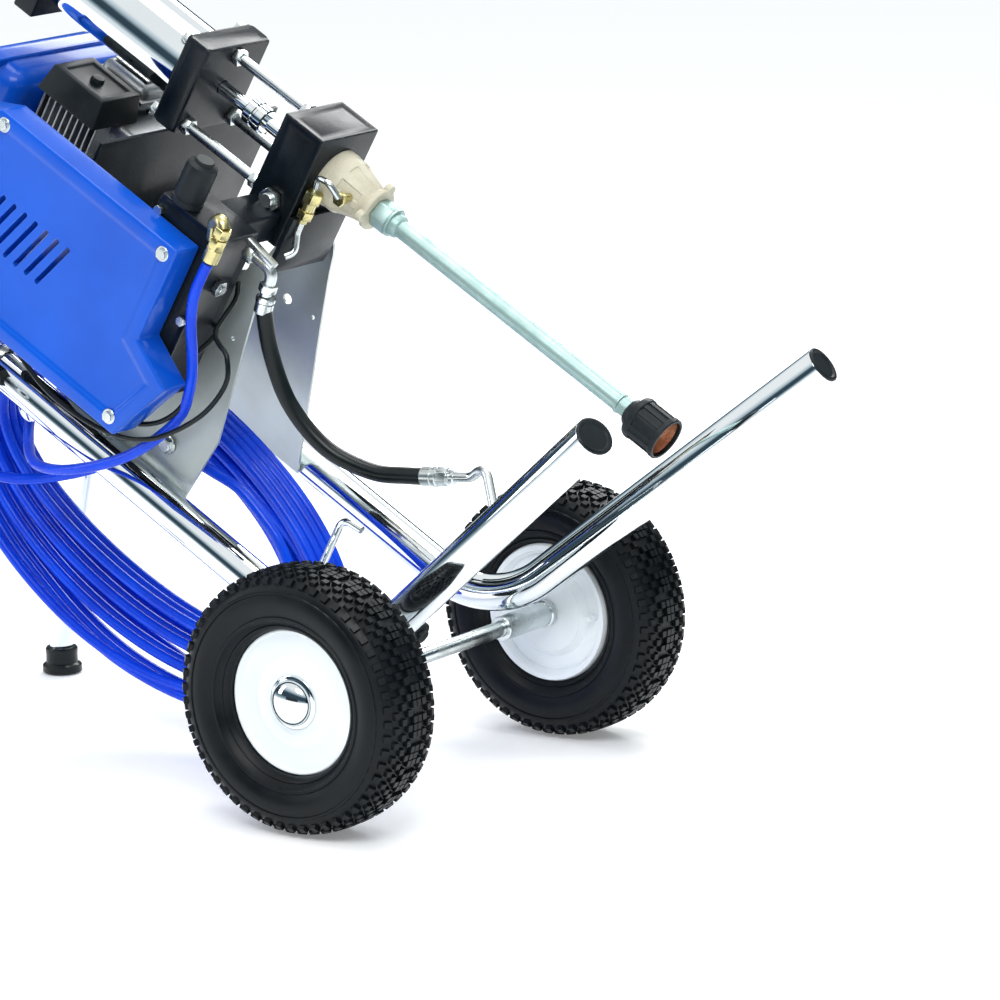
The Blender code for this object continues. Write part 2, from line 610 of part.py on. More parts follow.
def make_power_unit(cart, f):
    """Deck, engine, tank, recoil starter, exhaust, air cleaner, hydraulic pump and reservoir."""
    deck_z = DECK_HEIGHT
    depth = DECK_FRONT - DECK_BACK
    box("engine_deck", (depth, 2 * DECK_HALF, DECK_THICK), f["black"], cart,
        ((DECK_FRONT + DECK_BACK) / 2, 0, deck_z + DECK_THICK / 2))
    floor = deck_z + DECK_THICK + GAP
    ex, ey = ENGINE_AT
    lx, ly, lz = ENGINE_SIZE
    box("engine_block", ENGINE_SIZE, f["engine"], cart, (ex, ey, floor + lz / 2), bevel=0.012)
    top = floor + lz + GAP
    box("fuel_tank", TANK_SIZE, f["blue"], cart, (ex, ey - 0.004, top + TANK_SIZE[2] / 2),
        bevel=0.016, segments=2)
    tank_top = top + TANK_SIZE[2]
    cap_axis = empty("fuel_cap_axis", (ex - 0.045, ey - 0.030, tank_top + GAP))
    cap_axis.parent = cart
    rod("fuel_cap", 0.024, 0.016, f["plastic"], cap_axis, (0, 0, 0), steps=24, chamfer=0.003)
    side = ey + ly / 2 + GAP
    starter = [(0, 0), (0.068, 0), (0.068, 0.018), (0.056, 0.030), (0, 0.030)]
    turned("recoil_housing", starter, f["blue"], cart, (ex, side, floor + lz / 2), ALONG_Y, 32)
    box("starter_grip", (0.030, 0.014, 0.014), f["plastic"], cart,
        (ex + 0.083, side + 0.011, floor + lz / 2 + 0.040), bevel=0.003)
    front = ex + lx / 2 + GAP
    high = floor + FRONT_BOXES_UP
    box("muffler", MUFFLER_SIZE, f["engine"], cart, (front + MUFFLER_SIZE[0] / 2, ey + 0.035, high),
        bevel=0.012)
    box("air_cleaner", CLEANER_SIZE, f["plastic"], cart, (front + CLEANER_SIZE[0] / 2, ey - 0.048, high),
        bevel=0.010)
    under = deck_z - GAP
    box("hydraulic_tank", TANK_BELOW, f["black"], cart, (*TANK_BELOW_AT, under - TANK_BELOW[2] / 2),
        bevel=0.008)
    start = -BELT_OUT + BELT_WIDTH / 2 + OIL_PUMP_IN
    rod("hydraulic_pump", OIL_PUMP_RADIUS, OIL_PUMP_LENGTH, f["black"], cart,
        (BELT_FORWARD, start, PULLEY_LOW), ALONG_Y, 28, 0.003)


def make_handle(cart, f):
    """The U handle that slides in the rails, and its grip."""
    half = RAIL_SPACING / 2
    slide = empty("handle_slide", (0, 0, RAIL_LENGTH))
    slide.parent = cart
    line = rounded([(0, half, -HANDLE_INSIDE), (0, half, HANDLE_REACH), (0, -half, HANDLE_REACH),
                    (0, -half, -HANDLE_INSIDE)], HANDLE_BEND, 7)
    path("handle_bar", line, HANDLE_RADIUS, f["chrome"], slide, resolution=4)
    ring("handle_grip", HANDLE_RADIUS + GAP, GRIP_RADIUS, GRIP_LENGTH, f["plastic"], slide,
         (0, -GRIP_LENGTH / 2, HANDLE_REACH), ALONG_Y, 20)


def make_rear_stand(cart, floor, f):
    """Two straight legs under the rails that the laid-back cart rests on, with rubber feet."""
    bpy.context.view_layer.update()
    down = Vector((-TUBE_RADIUS - GAP, 0, STAND_HEIGHT_ON_RAIL))
    for side, name in ((1, "left"), (-1, "right")):
        top = cart.matrix_world @ Vector((down.x - 0.004, side * RAIL_SPACING / 2, down.z))
        foot = Vector((top.x - STAND_RAKE, side * (RAIL_SPACING / 2 + STAND_SPREAD), FOOT_HEIGHT + GAP))
        leg = bar("stand_leg_" + name, [top, foot], STAND_RADIUS, f["chrome"], floor)
        trim = box("leg_trim_" + name, (0.2, 0.08, 0.2), None, cart,
                   (-TUBE_RADIUS - GAP + 0.1, side * RAIL_SPACING / 2, STAND_HEIGHT_ON_RAIL))
        cut(leg, trim)
        ground = box("foot_trim_" + name, (0.2, 0.2, 0.1), None, floor,
                     (foot.x, foot.y, FOOT_HEIGHT / 2 - 0.05))
        cut(leg, ground)
        pad = [(0, 0), (FOOT_RADIUS, 0), (FOOT_RADIUS, 0.010), (STAND_RADIUS + 0.003, FOOT_HEIGHT),
               (0, FOOT_HEIGHT)]
        join(leg, turned("foot_shape_" + name, pad, None, floor, (foot.x, foot.y, 0), steps=24))


def coil_mesh():
    """The outer shape of the wound spray hose: an upright oval ring, tight on top and slack below."""
    around, sides = 40, 10
    bm = bmesh.new()
    rings = []
    for i in range(around):
        a = math.tau * i / around
        slack = 0.5 - 0.5 * math.sin(a)
        half = 0.019 + 0.022 * slack
        turn = []
        for j in range(sides):
            b = math.tau * j / sides
            out = half * math.cos(b)
            x = (COIL_HALF_HEIGHT + out) * math.sin(a)
            z = (COIL_HALF_LENGTH + out) * math.cos(a)
            turn.append(bm.verts.new((x, COIL_HALF_WIDTH * math.sin(b), z)))
        rings.append(turn)
    for a, b in zip(rings, rings[1:] + rings[:1]):
        for j in range(sides):
            k = (j + 1) % sides
            bm.faces.new((a[j], a[k], b[k], b[j]))
    return mesh_of("hose_coil", bm)


def make_hose(cart, f):
    """The spray hose: from the swivel to the coil between the rails, and from the coil to the gun."""
    place("hose_coil", coil_mesh(), f["hose"], cart, (COIL_CENTRE[0], 0, COIL_CENTRE[1]))
    path("hose_lead", smooth_line(LEAD_ROUTE, 0.014), HOSE_RADIUS, f["hose"], cart)
    path("hose_tail", smooth_line(TAIL_ROUTE, 0.014), HOSE_RADIUS, f["hose"], cart)


def make_rack(cart, f):
    """A bent rod that cradles the front of the coil."""
    inner = RAIL_SPACING / 2 - TUBE_RADIUS - 0.001
    y = -HOOK_OUT
    front = rounded([(0.0, -inner, 0.112), (0.010, y, 0.112), (0.075, y, 0.114), (0.078, y, 0.090)], 0.012, 4)
    path("rack_hook", front, 0.004, f["chrome"], cart)


def make_gun(cart, f):
    """The spray gun in its holder outside the near rail, pointing down the rail."""
    y = -RAIL_SPACING / 2 - TUBE_RADIUS - GAP
    box("gun_holder", (0.034, 0.012, 0.030), f["black"], cart, (0.0, y - 0.006, 0.500), bevel=0.002)
    x0, y0, z0 = GUN_AT
    body = box("gun_body", (0.030, 0.024, 0.105), f["engine"], cart, (x0, y0, z0), bevel=0.005)
    handle = box("gun_handle_shape", (0.100, 0.022, 0.030), None, cart, (x0 - 0.055, y0, z0 + 0.038),
                 (0, math.radians(-14), 0), 0.006)
    join(body, handle)
    axis = empty("trigger_axis", (x0 - 0.019, y0, z0 - 0.016))
    axis.parent = cart
    trigger = rounded([(0, 0, 0), (-0.020, 0, 0.006), (-0.078, 0, -0.006)], 0.012, 4)
    path("gun_trigger", trigger, 0.0042, f["steel"], axis)
    low = z0 - 0.0525 - 0.030
    join(body, rod("tip_guard", 0.015, 0.034, None, cart, (x0, y0, low), steps=20, chamfer=0.004))


def make_knob(cart, f):
    """The pressure knob on the manifold's front."""
    x, y, z = MANIFOLD_AT
    front = x + MANIFOLD_SIZE[0] / 2 + GAP
    knob = empty("pressure_axis", (front, y + 0.015, z + 0.016), ALONG_X)
    knob.parent = cart
    profile = [(0, 0), (0.007, 0), (0.007, 0.004), (0.013, 0.006), (0.013, 0.018), (0.011, 0.020), (0, 0.020)]
    turned("pressure_knob", profile, f["plastic"], knob, steps=20)


def centre_on_footprint(parents):
    """Moves everything so that the middle of its footprint is the origin."""
    bpy.context.view_layer.update()
    graph = bpy.context.evaluated_depsgraph_get()
    low = Vector((1e9, 1e9, 1e9))
    high = -low
    for thing in bpy.data.objects:
        if thing.type == "EMPTY" or thing.hide_render or thing.name in CORDS:
            continue
        made = thing.evaluated_get(graph)
        mesh = made.to_mesh()
        for vertex in mesh.vertices:
            at = made.matrix_world @ vertex.co
            low = Vector(map(min, low, at))
            high = Vector(map(max, high, at))
        made.to_mesh_clear()
    for parent in parents:
        parent.location.x -= (low.x + high.x) / 2
        parent.location.y -= (low.y + high.y) / 2
        parent.location.z -= low.z


def main():
    clear_scene()
    f = finishes()
    floor = empty("floor_frame")
    cart = empty("laid_back_frame", (-BEND_BACK, 0, BEND_HEIGHT), (0, RAIL_SLOPE - math.pi / 2, 0))
    for side, name in ((1, "left"), (-1, "right")):
        make_wheel(side, name, floor, f)
    make_axle(floor, f)
    make_frame(cart, f)
    make_pump_stand(cart, f)
    make_pump(cart, f)
    make_siphon(cart, f)
    make_manifold(cart, f)
    make_drain(cart, f)
    make_knob(cart, f)
    make_belt_drive(cart, f)
    make_guard(cart, f)
    make_power_unit(cart, f)
    make_handle(cart, f)
    make_rear_stand(cart, floor, f)
    make_rack(cart, f)
    make_hose(cart, f)
    make_gun(cart, f)
    centre_on_footprint((floor, cart))


main()
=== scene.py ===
# %% [markdown]
# # A two-wheeled airless striper, laid back on its rear stand
# The machine is a cart of two bent, chromed tubes with everything that pumps the paint hung between them.
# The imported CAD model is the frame: it says where each body is and how it moves, and it is never changed.
# This file builds the finished surfaces around that frame, one piece at a time, and each piece rides on
# the body that it belongs to.

import json
import math

import bmesh
import bpy
from mathutils import Matrix, Vector


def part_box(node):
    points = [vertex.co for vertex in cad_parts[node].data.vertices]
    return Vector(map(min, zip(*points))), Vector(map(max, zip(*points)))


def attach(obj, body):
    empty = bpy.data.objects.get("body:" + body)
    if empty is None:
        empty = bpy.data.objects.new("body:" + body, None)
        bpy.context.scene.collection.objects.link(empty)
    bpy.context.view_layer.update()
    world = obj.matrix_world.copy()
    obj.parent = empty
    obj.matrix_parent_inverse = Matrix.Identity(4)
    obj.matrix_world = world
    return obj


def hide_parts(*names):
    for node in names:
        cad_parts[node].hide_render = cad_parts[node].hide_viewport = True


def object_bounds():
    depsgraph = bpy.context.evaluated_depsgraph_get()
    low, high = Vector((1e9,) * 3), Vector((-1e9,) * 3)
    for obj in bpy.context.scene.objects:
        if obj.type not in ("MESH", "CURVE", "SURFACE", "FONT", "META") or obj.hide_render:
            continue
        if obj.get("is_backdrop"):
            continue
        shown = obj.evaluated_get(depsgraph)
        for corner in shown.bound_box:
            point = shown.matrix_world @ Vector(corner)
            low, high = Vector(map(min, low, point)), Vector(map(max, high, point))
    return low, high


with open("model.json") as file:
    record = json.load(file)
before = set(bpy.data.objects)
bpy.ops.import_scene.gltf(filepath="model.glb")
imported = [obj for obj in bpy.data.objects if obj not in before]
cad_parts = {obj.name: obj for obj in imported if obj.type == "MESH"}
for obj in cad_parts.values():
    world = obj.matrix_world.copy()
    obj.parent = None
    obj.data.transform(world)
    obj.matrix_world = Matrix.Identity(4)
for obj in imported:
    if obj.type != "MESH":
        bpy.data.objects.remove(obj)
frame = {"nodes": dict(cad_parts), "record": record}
bpy.context.view_layer.update()

# %% [markdown]
# The cart is easiest to build upright, as a mechanic would stand it on a bench: X forward, Y left and Z up
# its rails from the bend of the tubes. One matrix then lays it back over the axle. The axle is where the
# frame says, and the slope and the bend are the cart's own sizes.

# %% The cart's own axes
GAP = 0.0003
RAIL_SLOPE = math.radians(30.35)
BEND_BACK = 0.019
BEND_HEIGHT = 0.1397

axle_low, axle_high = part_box("axle")
AXLE = (axle_low + axle_high) / 2
CART = (Matrix.Translation((AXLE.x - BEND_BACK, 0, BEND_HEIGHT))
        @ Matrix.Rotation(RAIL_SLOPE - math.pi / 2, 4, "Y"))
FLOOR = Matrix.Identity(4)
print("the rails' bend is at", [round(x, 4) for x in CART.translation])

# %% [markdown]
# ## Camera, floor and light
# A long lens from well back keeps the tubes straight and the two wheels nearly the same size. The camera is
# placed from the axle. The floor is a wide pale sheet, and the light is four large soft panels with a
# bright sky. Chrome shows only what stands round it, so three dark screens give the tubes their dark lines.

# %% Camera
CAMERA_FROM_AXLE = Vector((2.98896, -4.12292, 1.37674))
CAMERA_TURN = 0.615174
CAMERA_DOWN = 0.212404
CAMERA_ROLL = -0.0212697
LENS = 192.94

camera_data = bpy.data.cameras.new("camera")
camera_data.lens = LENS
camera_data.sensor_width = 36.0
camera = bpy.data.objects.new("camera", camera_data)
bpy.context.scene.collection.objects.link(camera)
back = Vector((math.sin(CAMERA_TURN) * math.cos(CAMERA_DOWN), -math.cos(CAMERA_TURN) * math.cos(CAMERA_DOWN),
               math.sin(CAMERA_DOWN)))
level = Vector((math.cos(CAMERA_TURN), math.sin(CAMERA_TURN), 0))
upward = back.cross(level)
right = level * math.cos(CAMERA_ROLL) + upward * math.sin(CAMERA_ROLL)
upward = back.cross(right)
turn = Matrix((right, upward, back)).transposed().to_4x4()
camera.matrix_world = Matrix.Translation(Vector((AXLE.x, 0, 0)) + CAMERA_FROM_AXLE) @ turn
camera_data.clip_start = 0.1
camera_data.clip_end = 100
bpy.context.scene.camera = camera
print("the camera looks along", [round(-x, 3) for x in back])


# %% Floor
def plain(name, colour, roughness=0.6, metallic=0.0, glow=0.0):
    """A Principled material with these values on its own sockets."""
    made = bpy.data.materials.new(name)
    made.use_nodes = True
    shader = made.node_tree.nodes["Principled BSDF"]
    shader.inputs["Base Color"].default_value = (*colour, 1)
    shader.inputs["Roughness"].default_value = roughness
    shader.inputs["Metallic"].default_value = metallic
    if glow:
        shader.inputs["Emission Color"].default_value = (1, 1, 1, 1)
        shader.inputs["Emission Strength"].default_value = glow
    return made


FLOOR_GLOW = 0.22
bpy.ops.object.select_all(action="DESELECT")
bpy.ops.mesh.primitive_plane_add(size=60, location=(0, 0, -0.0005))
floor = bpy.context.active_object
floor.name = "floor"
floor.data.materials.append(plain("floor_paper", (0.93, 0.945, 0.955), 0.6, glow=FLOOR_GLOW))
floor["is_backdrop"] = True
print("the floor is", floor.dimensions.x, "metres wide")


# %% Lights
def panel(name, at, aim, size, power, colour=(1, 1, 1)):
    """A soft square light at a place, aimed at a point."""
    data = bpy.data.lights.new(name, "AREA")
    data.shape = "RECTANGLE"
    data.size, data.size_y = size
    data.energy = power
    data.color = colour
    lamp = bpy.data.objects.new(name, data)
    bpy.context.scene.collection.objects.link(lamp)
    lamp.location = at
    lamp.rotation_euler = (Vector(aim) - Vector(at)).to_track_quat("-Z", "Y").to_euler()
    return lamp


def screen(name, at, aim, size, colour):
    """A matt board that chrome can reflect. It is part of the studio."""
    bpy.ops.object.select_all(action="DESELECT")
    bpy.ops.mesh.primitive_plane_add(size=1)
    board = bpy.context.active_object
    board.name = name
    board.scale = (*size, 1)
    board.location = at
    board.rotation_euler = (Vector(aim) - Vector(at)).to_track_quat("Z", "Y").to_euler()
    board.data.materials.append(plain(name + "_cloth", colour, 0.9))
    board.visible_camera = False
    board.visible_shadow = False
    board.visible_diffuse = False
    board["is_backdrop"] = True
    return board


MIDDLE = (0.0, 0.0, 0.35)
panel("key_panel", (1.6, -2.6, 3.0), MIDDLE, (2.4, 1.4), 78)
panel("fill_panel", (-3.2, -2.4, 1.8), MIDDLE, (1.2, 2.2), 30)
panel("rear_panel", (-0.8, 3.0, 2.4), MIDDLE, (2.2, 1.2), 52)
panel("top_panel", (0.3, 0.3, 3.6), MIDDLE, (1.8, 1.8), 46)
screen("dark_screen_front", (4.2, -1.2, 0.62), MIDDLE, (2.6, 0.9), (0.006, 0.011, 0.016))
screen("dark_screen_near", (-0.6, -4.6, 0.40), MIDDLE, (3.4, 0.6), (0.006, 0.011, 0.016))
screen("dark_screen_far", (0.6, 4.6, 0.8), MIDDLE, (4.0, 0.8), (0.006, 0.011, 0.016))

SKY_BANDS = ((0.0, (0.60, 0.68, 0.72)), (0.07, (0.20, 0.28, 0.33)), (0.14, (0.035, 0.060, 0.080)),
             (0.34, (0.045, 0.075, 0.10)), (0.46, (0.50, 0.60, 0.66)), (0.62, (1.0, 1.0, 1.0)))
world = bpy.data.worlds.new("studio")
world.use_nodes = True
sky = world.node_tree.nodes["Background"]
links = world.node_tree.links
ray = world.node_tree.nodes.new("ShaderNodeTexCoord")
height = world.node_tree.nodes.new("ShaderNodeSeparateXYZ")
ramp = world.node_tree.nodes.new("ShaderNodeValToRGB")
links.new(ray.outputs["Generated"], height.inputs["Vector"])
links.new(height.outputs["Z"], ramp.inputs["Fac"])
for number, (position, colour) in enumerate(SKY_BANDS):
    stops = ramp.color_ramp.elements
    stop = stops[number] if number < 2 else stops.new(position)
    stop.position = position
    stop.color = (*colour, 1)
seen = world.node_tree.nodes.new("ShaderNodeLightPath")
backdrop = world.node_tree.nodes.new("ShaderNodeMix")
backdrop.data_type = "RGBA"
backdrop.inputs["B"].default_value = (0.97, 0.985, 1.0, 1)
links.new(seen.outputs["Is Camera Ray"], backdrop.inputs["Factor"])
links.new(ramp.outputs["Color"], backdrop.inputs["A"])
links.new(backdrop.outputs["Result"], sky.inputs["Color"])
bpy.context.scene.world = world
bpy.context.scene.view_settings.view_transform = "Standard"

# %% [markdown]
# ## Helpers
# An operator acts on whatever is selected, so every helper first clears the selection. Faces are picked by
# where they are and which way they point, because indices change as soon as a mesh is edited.


# %% Selecting
def only(*objs):
    """Selects these objects and nothing else, with the first of them active."""
    bpy.ops.object.select_all(action="DESELECT")
    for obj in objs:
        obj.select_set(True)
    bpy.context.view_layer.objects.active = objs[0]


def newest(name):
    """The primitive that was just added, under its own name."""
    obj = bpy.context.active_object
    obj.name = name
    obj.data.name = name
    return obj


def edit(obj, test=None, kind="FACE"):
    """Enters edit mode on obj, with the faces or edges selected for which test(centre, normal or way) holds.
    Without a test all of them are."""
    only(obj)
    bpy.ops.object.mode_set(mode="EDIT")
    bpy.ops.mesh.select_mode(type=kind)
    bpy.ops.mesh.select_all(action="DESELECT")
    bm = bmesh.from_edit_mesh(obj.data)
    if kind == "FACE":
        for face in bm.faces:
            if test is None or test(face.calc_center_median(), face.normal):
                face.select_set(True)
    else:
        for edge in bm.edges:
            a, b = edge.verts
            if test is None or test((a.co + b.co) / 2, (b.co - a.co).normalized()):
                edge.select_set(True)
    bmesh.update_edit_mesh(obj.data)


def done():
    bpy.ops.object.mode_set(mode="OBJECT")


def applied(obj, kind, **values):
    """Adds a modifier with these values and applies it."""
    only(obj)
    modifier = obj.modifiers.new(kind.lower(), kind)
    for key, value in values.items():
        setattr(modifier, key, value)
    bpy.ops.object.modifier_apply(modifier=modifier.name)
    return obj


def eased(obj, width, segments=2, angle=30):
    """Breaks the sharp edges with a small bevel, as a real casting or pressing has."""
    return applied(obj, "BEVEL", width=width, segments=segments, limit_method="ANGLE",
                   angle_limit=math.radians(angle), harden_normals=False)


def pressed(obj, test, *steps, each=True):
    """Insets the chosen faces once for each (width, depth). A depth below zero sinks them."""
    edit(obj, test)
    for width, depth in steps:
        bpy.ops.mesh.inset(thickness=width, depth=depth, use_individual=each)
    done()
    return obj


def every_other(at, count):
    """True for one half of each of count equal steps round Z."""
    return (math.atan2(at.y, at.x) / math.tau * count) % 1 > 0.5


def split(obj, at, way):
    """Cuts new edges right round obj, in the plane through at with this normal."""
    edit(obj)
    bpy.ops.mesh.bisect(plane_co=at, plane_no=way)
    done()
    return obj


# %% Starting shapes
def block(name, size, at, turn=(0, 0, 0)):
    """A box of this size with its middle at a place, with its size in its mesh."""
    bpy.ops.object.select_all(action="DESELECT")
    bpy.ops.mesh.primitive_cube_add(size=1)
    obj = newest(name)
    obj.scale = size
    bpy.ops.object.transform_apply(location=False, rotation=False, scale=True)
    obj.location = at
    obj.rotation_euler = turn
    return obj


TURN_TO = {"Z": (0, 0, 0), "-Z": (math.pi, 0, 0), "X": (0, math.pi / 2, 0), "-X": (0, -math.pi / 2, 0),
           "Y": (-math.pi / 2, 0, 0), "-Y": (math.pi / 2, 0, 0)}


def placed(obj):
    """Puts an object's place and turn into its mesh."""
    only(obj)
    bpy.ops.object.transform_apply(location=True, rotation=True, scale=True)
    return obj


def spun(name, profile, at=(0, 0, 0), along="Z", steps=64):
    """A turned shape: a profile of (radius, height) pairs, spun about its axis."""
    mesh = bpy.data.meshes.new(name)
    points = [(r, 0, z) for r, z in profile]
    mesh.from_pydata(points, [(i, i + 1) for i in range(len(points) - 1)], [])
    obj = bpy.data.objects.new(name, mesh)
    bpy.context.scene.collection.objects.link(obj)
    edit(obj, kind="EDGE")
    bpy.ops.mesh.spin(steps=steps, angle=math.tau, center=(0, 0, 0), axis=(0, 0, 1))
    bpy.ops.mesh.select_all(action="SELECT")
    bpy.ops.mesh.remove_doubles(threshold=0.00002)
    bpy.ops.mesh.normals_make_consistent(inside=False)
    done()
    obj.rotation_euler = TURN_TO[along] if isinstance(along, str) else along
    obj.location = at
    return placed(obj)


def slab(name, outline, depth, at=(0, 0, 0), turn=(0, 0, 0)):
    """A flat shape with this outline, extruded upwards by its depth."""
    mesh = bpy.data.meshes.new(name)
    mesh.from_pydata([(x, y, 0) for x, y in outline], [], [tuple(range(len(outline)))])
    obj = bpy.data.objects.new(name, mesh)
    bpy.context.scene.collection.objects.link(obj)
    edit(obj)
    bpy.ops.mesh.extrude_region_move(TRANSFORM_OT_translate={"value": (0, 0, depth)})
    bpy.ops.mesh.select_all(action="SELECT")
    bpy.ops.mesh.normals_make_consistent(inside=False)
    done()
    obj.location = at
    obj.rotation_euler = turn
    return placed(obj)


def swept(name, points, radius, sides=8, caps=True):
    """A round bar or tube along a line of points, as a mesh."""
    curve = bpy.data.curves.new(name, "CURVE")
    curve.dimensions = "3D"
    curve.bevel_depth = radius
    curve.bevel_resolution = sides
    curve.use_fill_caps = caps
    line = curve.splines.new("POLY")
    line.points.add(len(points) - 1)
    for point, place in zip(line.points, points):
        point.co = (*place, 1)
    obj = bpy.data.objects.new(name, curve)
    bpy.context.scene.collection.objects.link(obj)
    only(obj)
    bpy.ops.object.convert(target="MESH")
    obj = bpy.context.active_object
    edit(obj)
    bpy.ops.mesh.remove_doubles(threshold=0.00002)
    bpy.ops.mesh.normals_make_consistent(inside=False)
    done()
    return obj


def hexagon(name, across, height, at, along="Z"):
    """A hexagon nut or bolt head with its corners chamfered at the top."""
    r = across / math.sqrt(3)
    bpy.ops.object.select_all(action="DESELECT")
    bpy.ops.mesh.primitive_cylinder_add(vertices=6, radius=r, depth=height)
    obj = newest(name)
    edit(obj, lambda c, n: abs(n.z) > 0.9)
    bpy.ops.mesh.inset(thickness=r * 0.14, depth=0)
    bpy.ops.mesh.select_all(action="DESELECT")
    done()
    eased(obj, height * 0.07, 2)
    obj.rotation_euler = TURN_TO[along] if isinstance(along, str) else along
    obj.location = at
    return placed(obj)


def fused(name, *objs):
    """Several shapes as one piece."""
    only(*objs)
    bpy.ops.object.join()
    obj = bpy.context.active_object
    obj.name = name
    obj.data.name = name
    return obj


def sunk(obj, *cutters):
    """Cuts other shapes out of obj."""
    for cutter in cutters:
        applied(obj, "BOOLEAN", object=cutter, operation="DIFFERENCE", solver="EXACT")
        bpy.data.objects.remove(cutter)
    return obj


# %% Lines
def smooth_line(route, spacing):
    """Points at about this spacing on one smooth curve through the route's points."""
    knots = [Vector(p) for p in route]
    knots = [2 * knots[0] - knots[1], *knots, 2 * knots[-1] - knots[-2]]
    line = []
    for a, b, c, d in zip(knots, knots[1:], knots[2:], knots[3:]):
        count = max(2, round((c - b).length / spacing))
        for i in range(count):
            t = i / count
            line.append(0.5 * (2 * b + (c - a) * t + (2 * a - 5 * b + 4 * c - d) * t * t
                               + (3 * b - a - 3 * c + d) * t ** 3))
    line.append(knots[-2])
    return line


def rounded(corners, radius, steps=12):
    """A line through its corners with each inner corner rounded to the radius."""
    pts = [Vector(c) for c in corners]
    line = [pts[0]]
    for before, corner, after in zip(pts, pts[1:], pts[2:]):
        a = (before - corner).normalized()
        b = (after - corner).normalized()
        half = a.angle(b) / 2
        middle = corner + (a + b).normalized() * (radius / math.sin(half))
        start = corner + a * (radius / math.tan(half))
        end = corner + b * (radius / math.tan(half))
        u = (start - middle).normalized()
        v = (end - middle).normalized()
        sweep = u.angle(v)
        for i in range(steps + 1):
            t = i / steps
            line.append(middle + radius
                        * (u * math.sin((1 - t) * sweep) + v * math.sin(t * sweep)) / math.sin(sweep))
    line.append(pts[-1])
    return line


# %% Finishing a piece
made = []


def settle(obj, place, body, finish, replaces=(), angle=35, merge=True):
    """Lays a piece in its place for good, gives it its finish, and lets it ride on its body."""
    obj.parent = None
    obj.matrix_world = place @ obj.matrix_world
    placed(obj)
    if merge:
        edit(obj)
        bpy.ops.mesh.remove_doubles(threshold=0.00001)
        bpy.ops.mesh.normals_make_consistent(inside=False)
        done()
    only(obj)
    bpy.ops.object.shade_smooth_by_angle(angle=math.radians(angle))
    if finish is not None:
        obj.data.materials.clear()
        obj.data.materials.append(finish)
    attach(obj, body)
    if replaces:
        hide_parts(*replaces)
    made.append(obj.name)
    return obj


# %% [markdown]
# ## Finishes
# No real surface is one flat colour. Cast paint has a pebbled skin and drifts a little in shade, its edges
# rub bright, and rolled steel has fine lines along it. Those effects are needed again and again, so each is
# a node group that is built once and given different values in each material.


# %% A helper for node groups
def new_group(name, inputs, outputs):
    """An empty shader node group with named inputs (with their values) and named outputs."""
    tree = bpy.data.node_groups.new(name, "ShaderNodeTree")
    for label, value in inputs.items():
        kind = "NodeSocketVector" if isinstance(value, tuple) else "NodeSocketFloat"
        tree.interface.new_socket(name=label, in_out="INPUT", socket_type=kind).default_value = value
    for label in outputs:
        tree.interface.new_socket(name=label, in_out="OUTPUT", socket_type="NodeSocketFloat")
    return tree, tree.nodes.new("NodeGroupInput"), tree.nodes.new("NodeGroupOutput")


def noise_node(tree, vector, scale, detail=3.0, rough=0.55):
    node = tree.nodes.new("ShaderNodeTexNoise")
    node.inputs["Detail"].default_value = detail
    node.inputs["Roughness"].default_value = rough
    tree.links.new(vector, node.inputs["Vector"])
    if isinstance(scale, float):
        node.inputs["Scale"].default_value = scale
    else:
        tree.links.new(scale, node.inputs["Scale"])
    return node.outputs["Fac"]


def sums(tree, operation, a, b):
    """One Math node on two values or sockets."""
    node = tree.nodes.new("ShaderNodeMath")
    node.operation = operation
    for socket, value in zip(node.inputs, (a, b)):
        if isinstance(value, (int, float)):
            socket.default_value = value
        else:
            tree.links.new(value, socket)
    return node.outputs[0]


def spread(tree, value, low, high, to_low=0.0, to_high=1.0):
    """A Map Range node: value from low..high becomes to_low..to_high."""
    node = tree.nodes.new("ShaderNodeMapRange")
    for label, number in (("From Min", low), ("From Max", high), ("To Min", to_low), ("To Max", to_high)):
        node.inputs[label].default_value = number
    tree.links.new(value, node.inputs["Value"])
    return node.outputs["Result"]


# %% The surface grain group: slow drifts of shade, and a fine pebble
grain, grain_in, grain_out = new_group("surface_grain",
                                       {"Vector": (0.0, 0.0, 0.0), "Patch Scale": 12.0,
                                        "Pebble Scale": 900.0}, ("Patch", "Pebble"))
patch = noise_node(grain, grain_in.outputs["Vector"], grain_in.outputs["Patch Scale"], 4.0)
pebble = noise_node(grain, grain_in.outputs["Vector"], grain_in.outputs["Pebble Scale"], 2.0)
grain.links.new(spread(grain, patch, 0.34, 0.66), grain_out.inputs["Patch"])
grain.links.new(pebble, grain_out.inputs["Pebble"])
print("surface_grain gives", [s.name for s in grain_out.inputs if s.name])

# %% The edge wear group: bright where a bevelled normal leaves the true one
wear, wear_in, wear_out = new_group("edge_wear", {"Vector": (0.0, 0.0, 0.0), "Radius": 0.0012, "Reach": 0.5},
                                    ("Mask",))
soft_normal = wear.nodes.new("ShaderNodeBevel")
soft_normal.samples = 4
wear.links.new(wear_in.outputs["Radius"], soft_normal.inputs["Radius"])
true_normal = wear.nodes.new("ShaderNodeNewGeometry")
match = wear.nodes.new("ShaderNodeVectorMath")
match.operation = "DOT_PRODUCT"
wear.links.new(soft_normal.outputs["Normal"], match.inputs[0])
wear.links.new(true_normal.outputs["Normal"], match.inputs[1])
edge = sums(wear, "SUBTRACT", 1.0, match.outputs["Value"])
broken = spread(wear, noise_node(wear, wear_in.outputs["Vector"], 160.0, 4.0), 0.40, 0.62)
worn = sums(wear, "MULTIPLY", spread(wear, edge, 0.02, 0.16), broken)
wear.links.new(sums(wear, "MULTIPLY", worn, wear_in.outputs["Reach"]), wear_out.inputs["Mask"])
print("edge_wear gives", [s.name for s in wear_out.inputs if s.name])

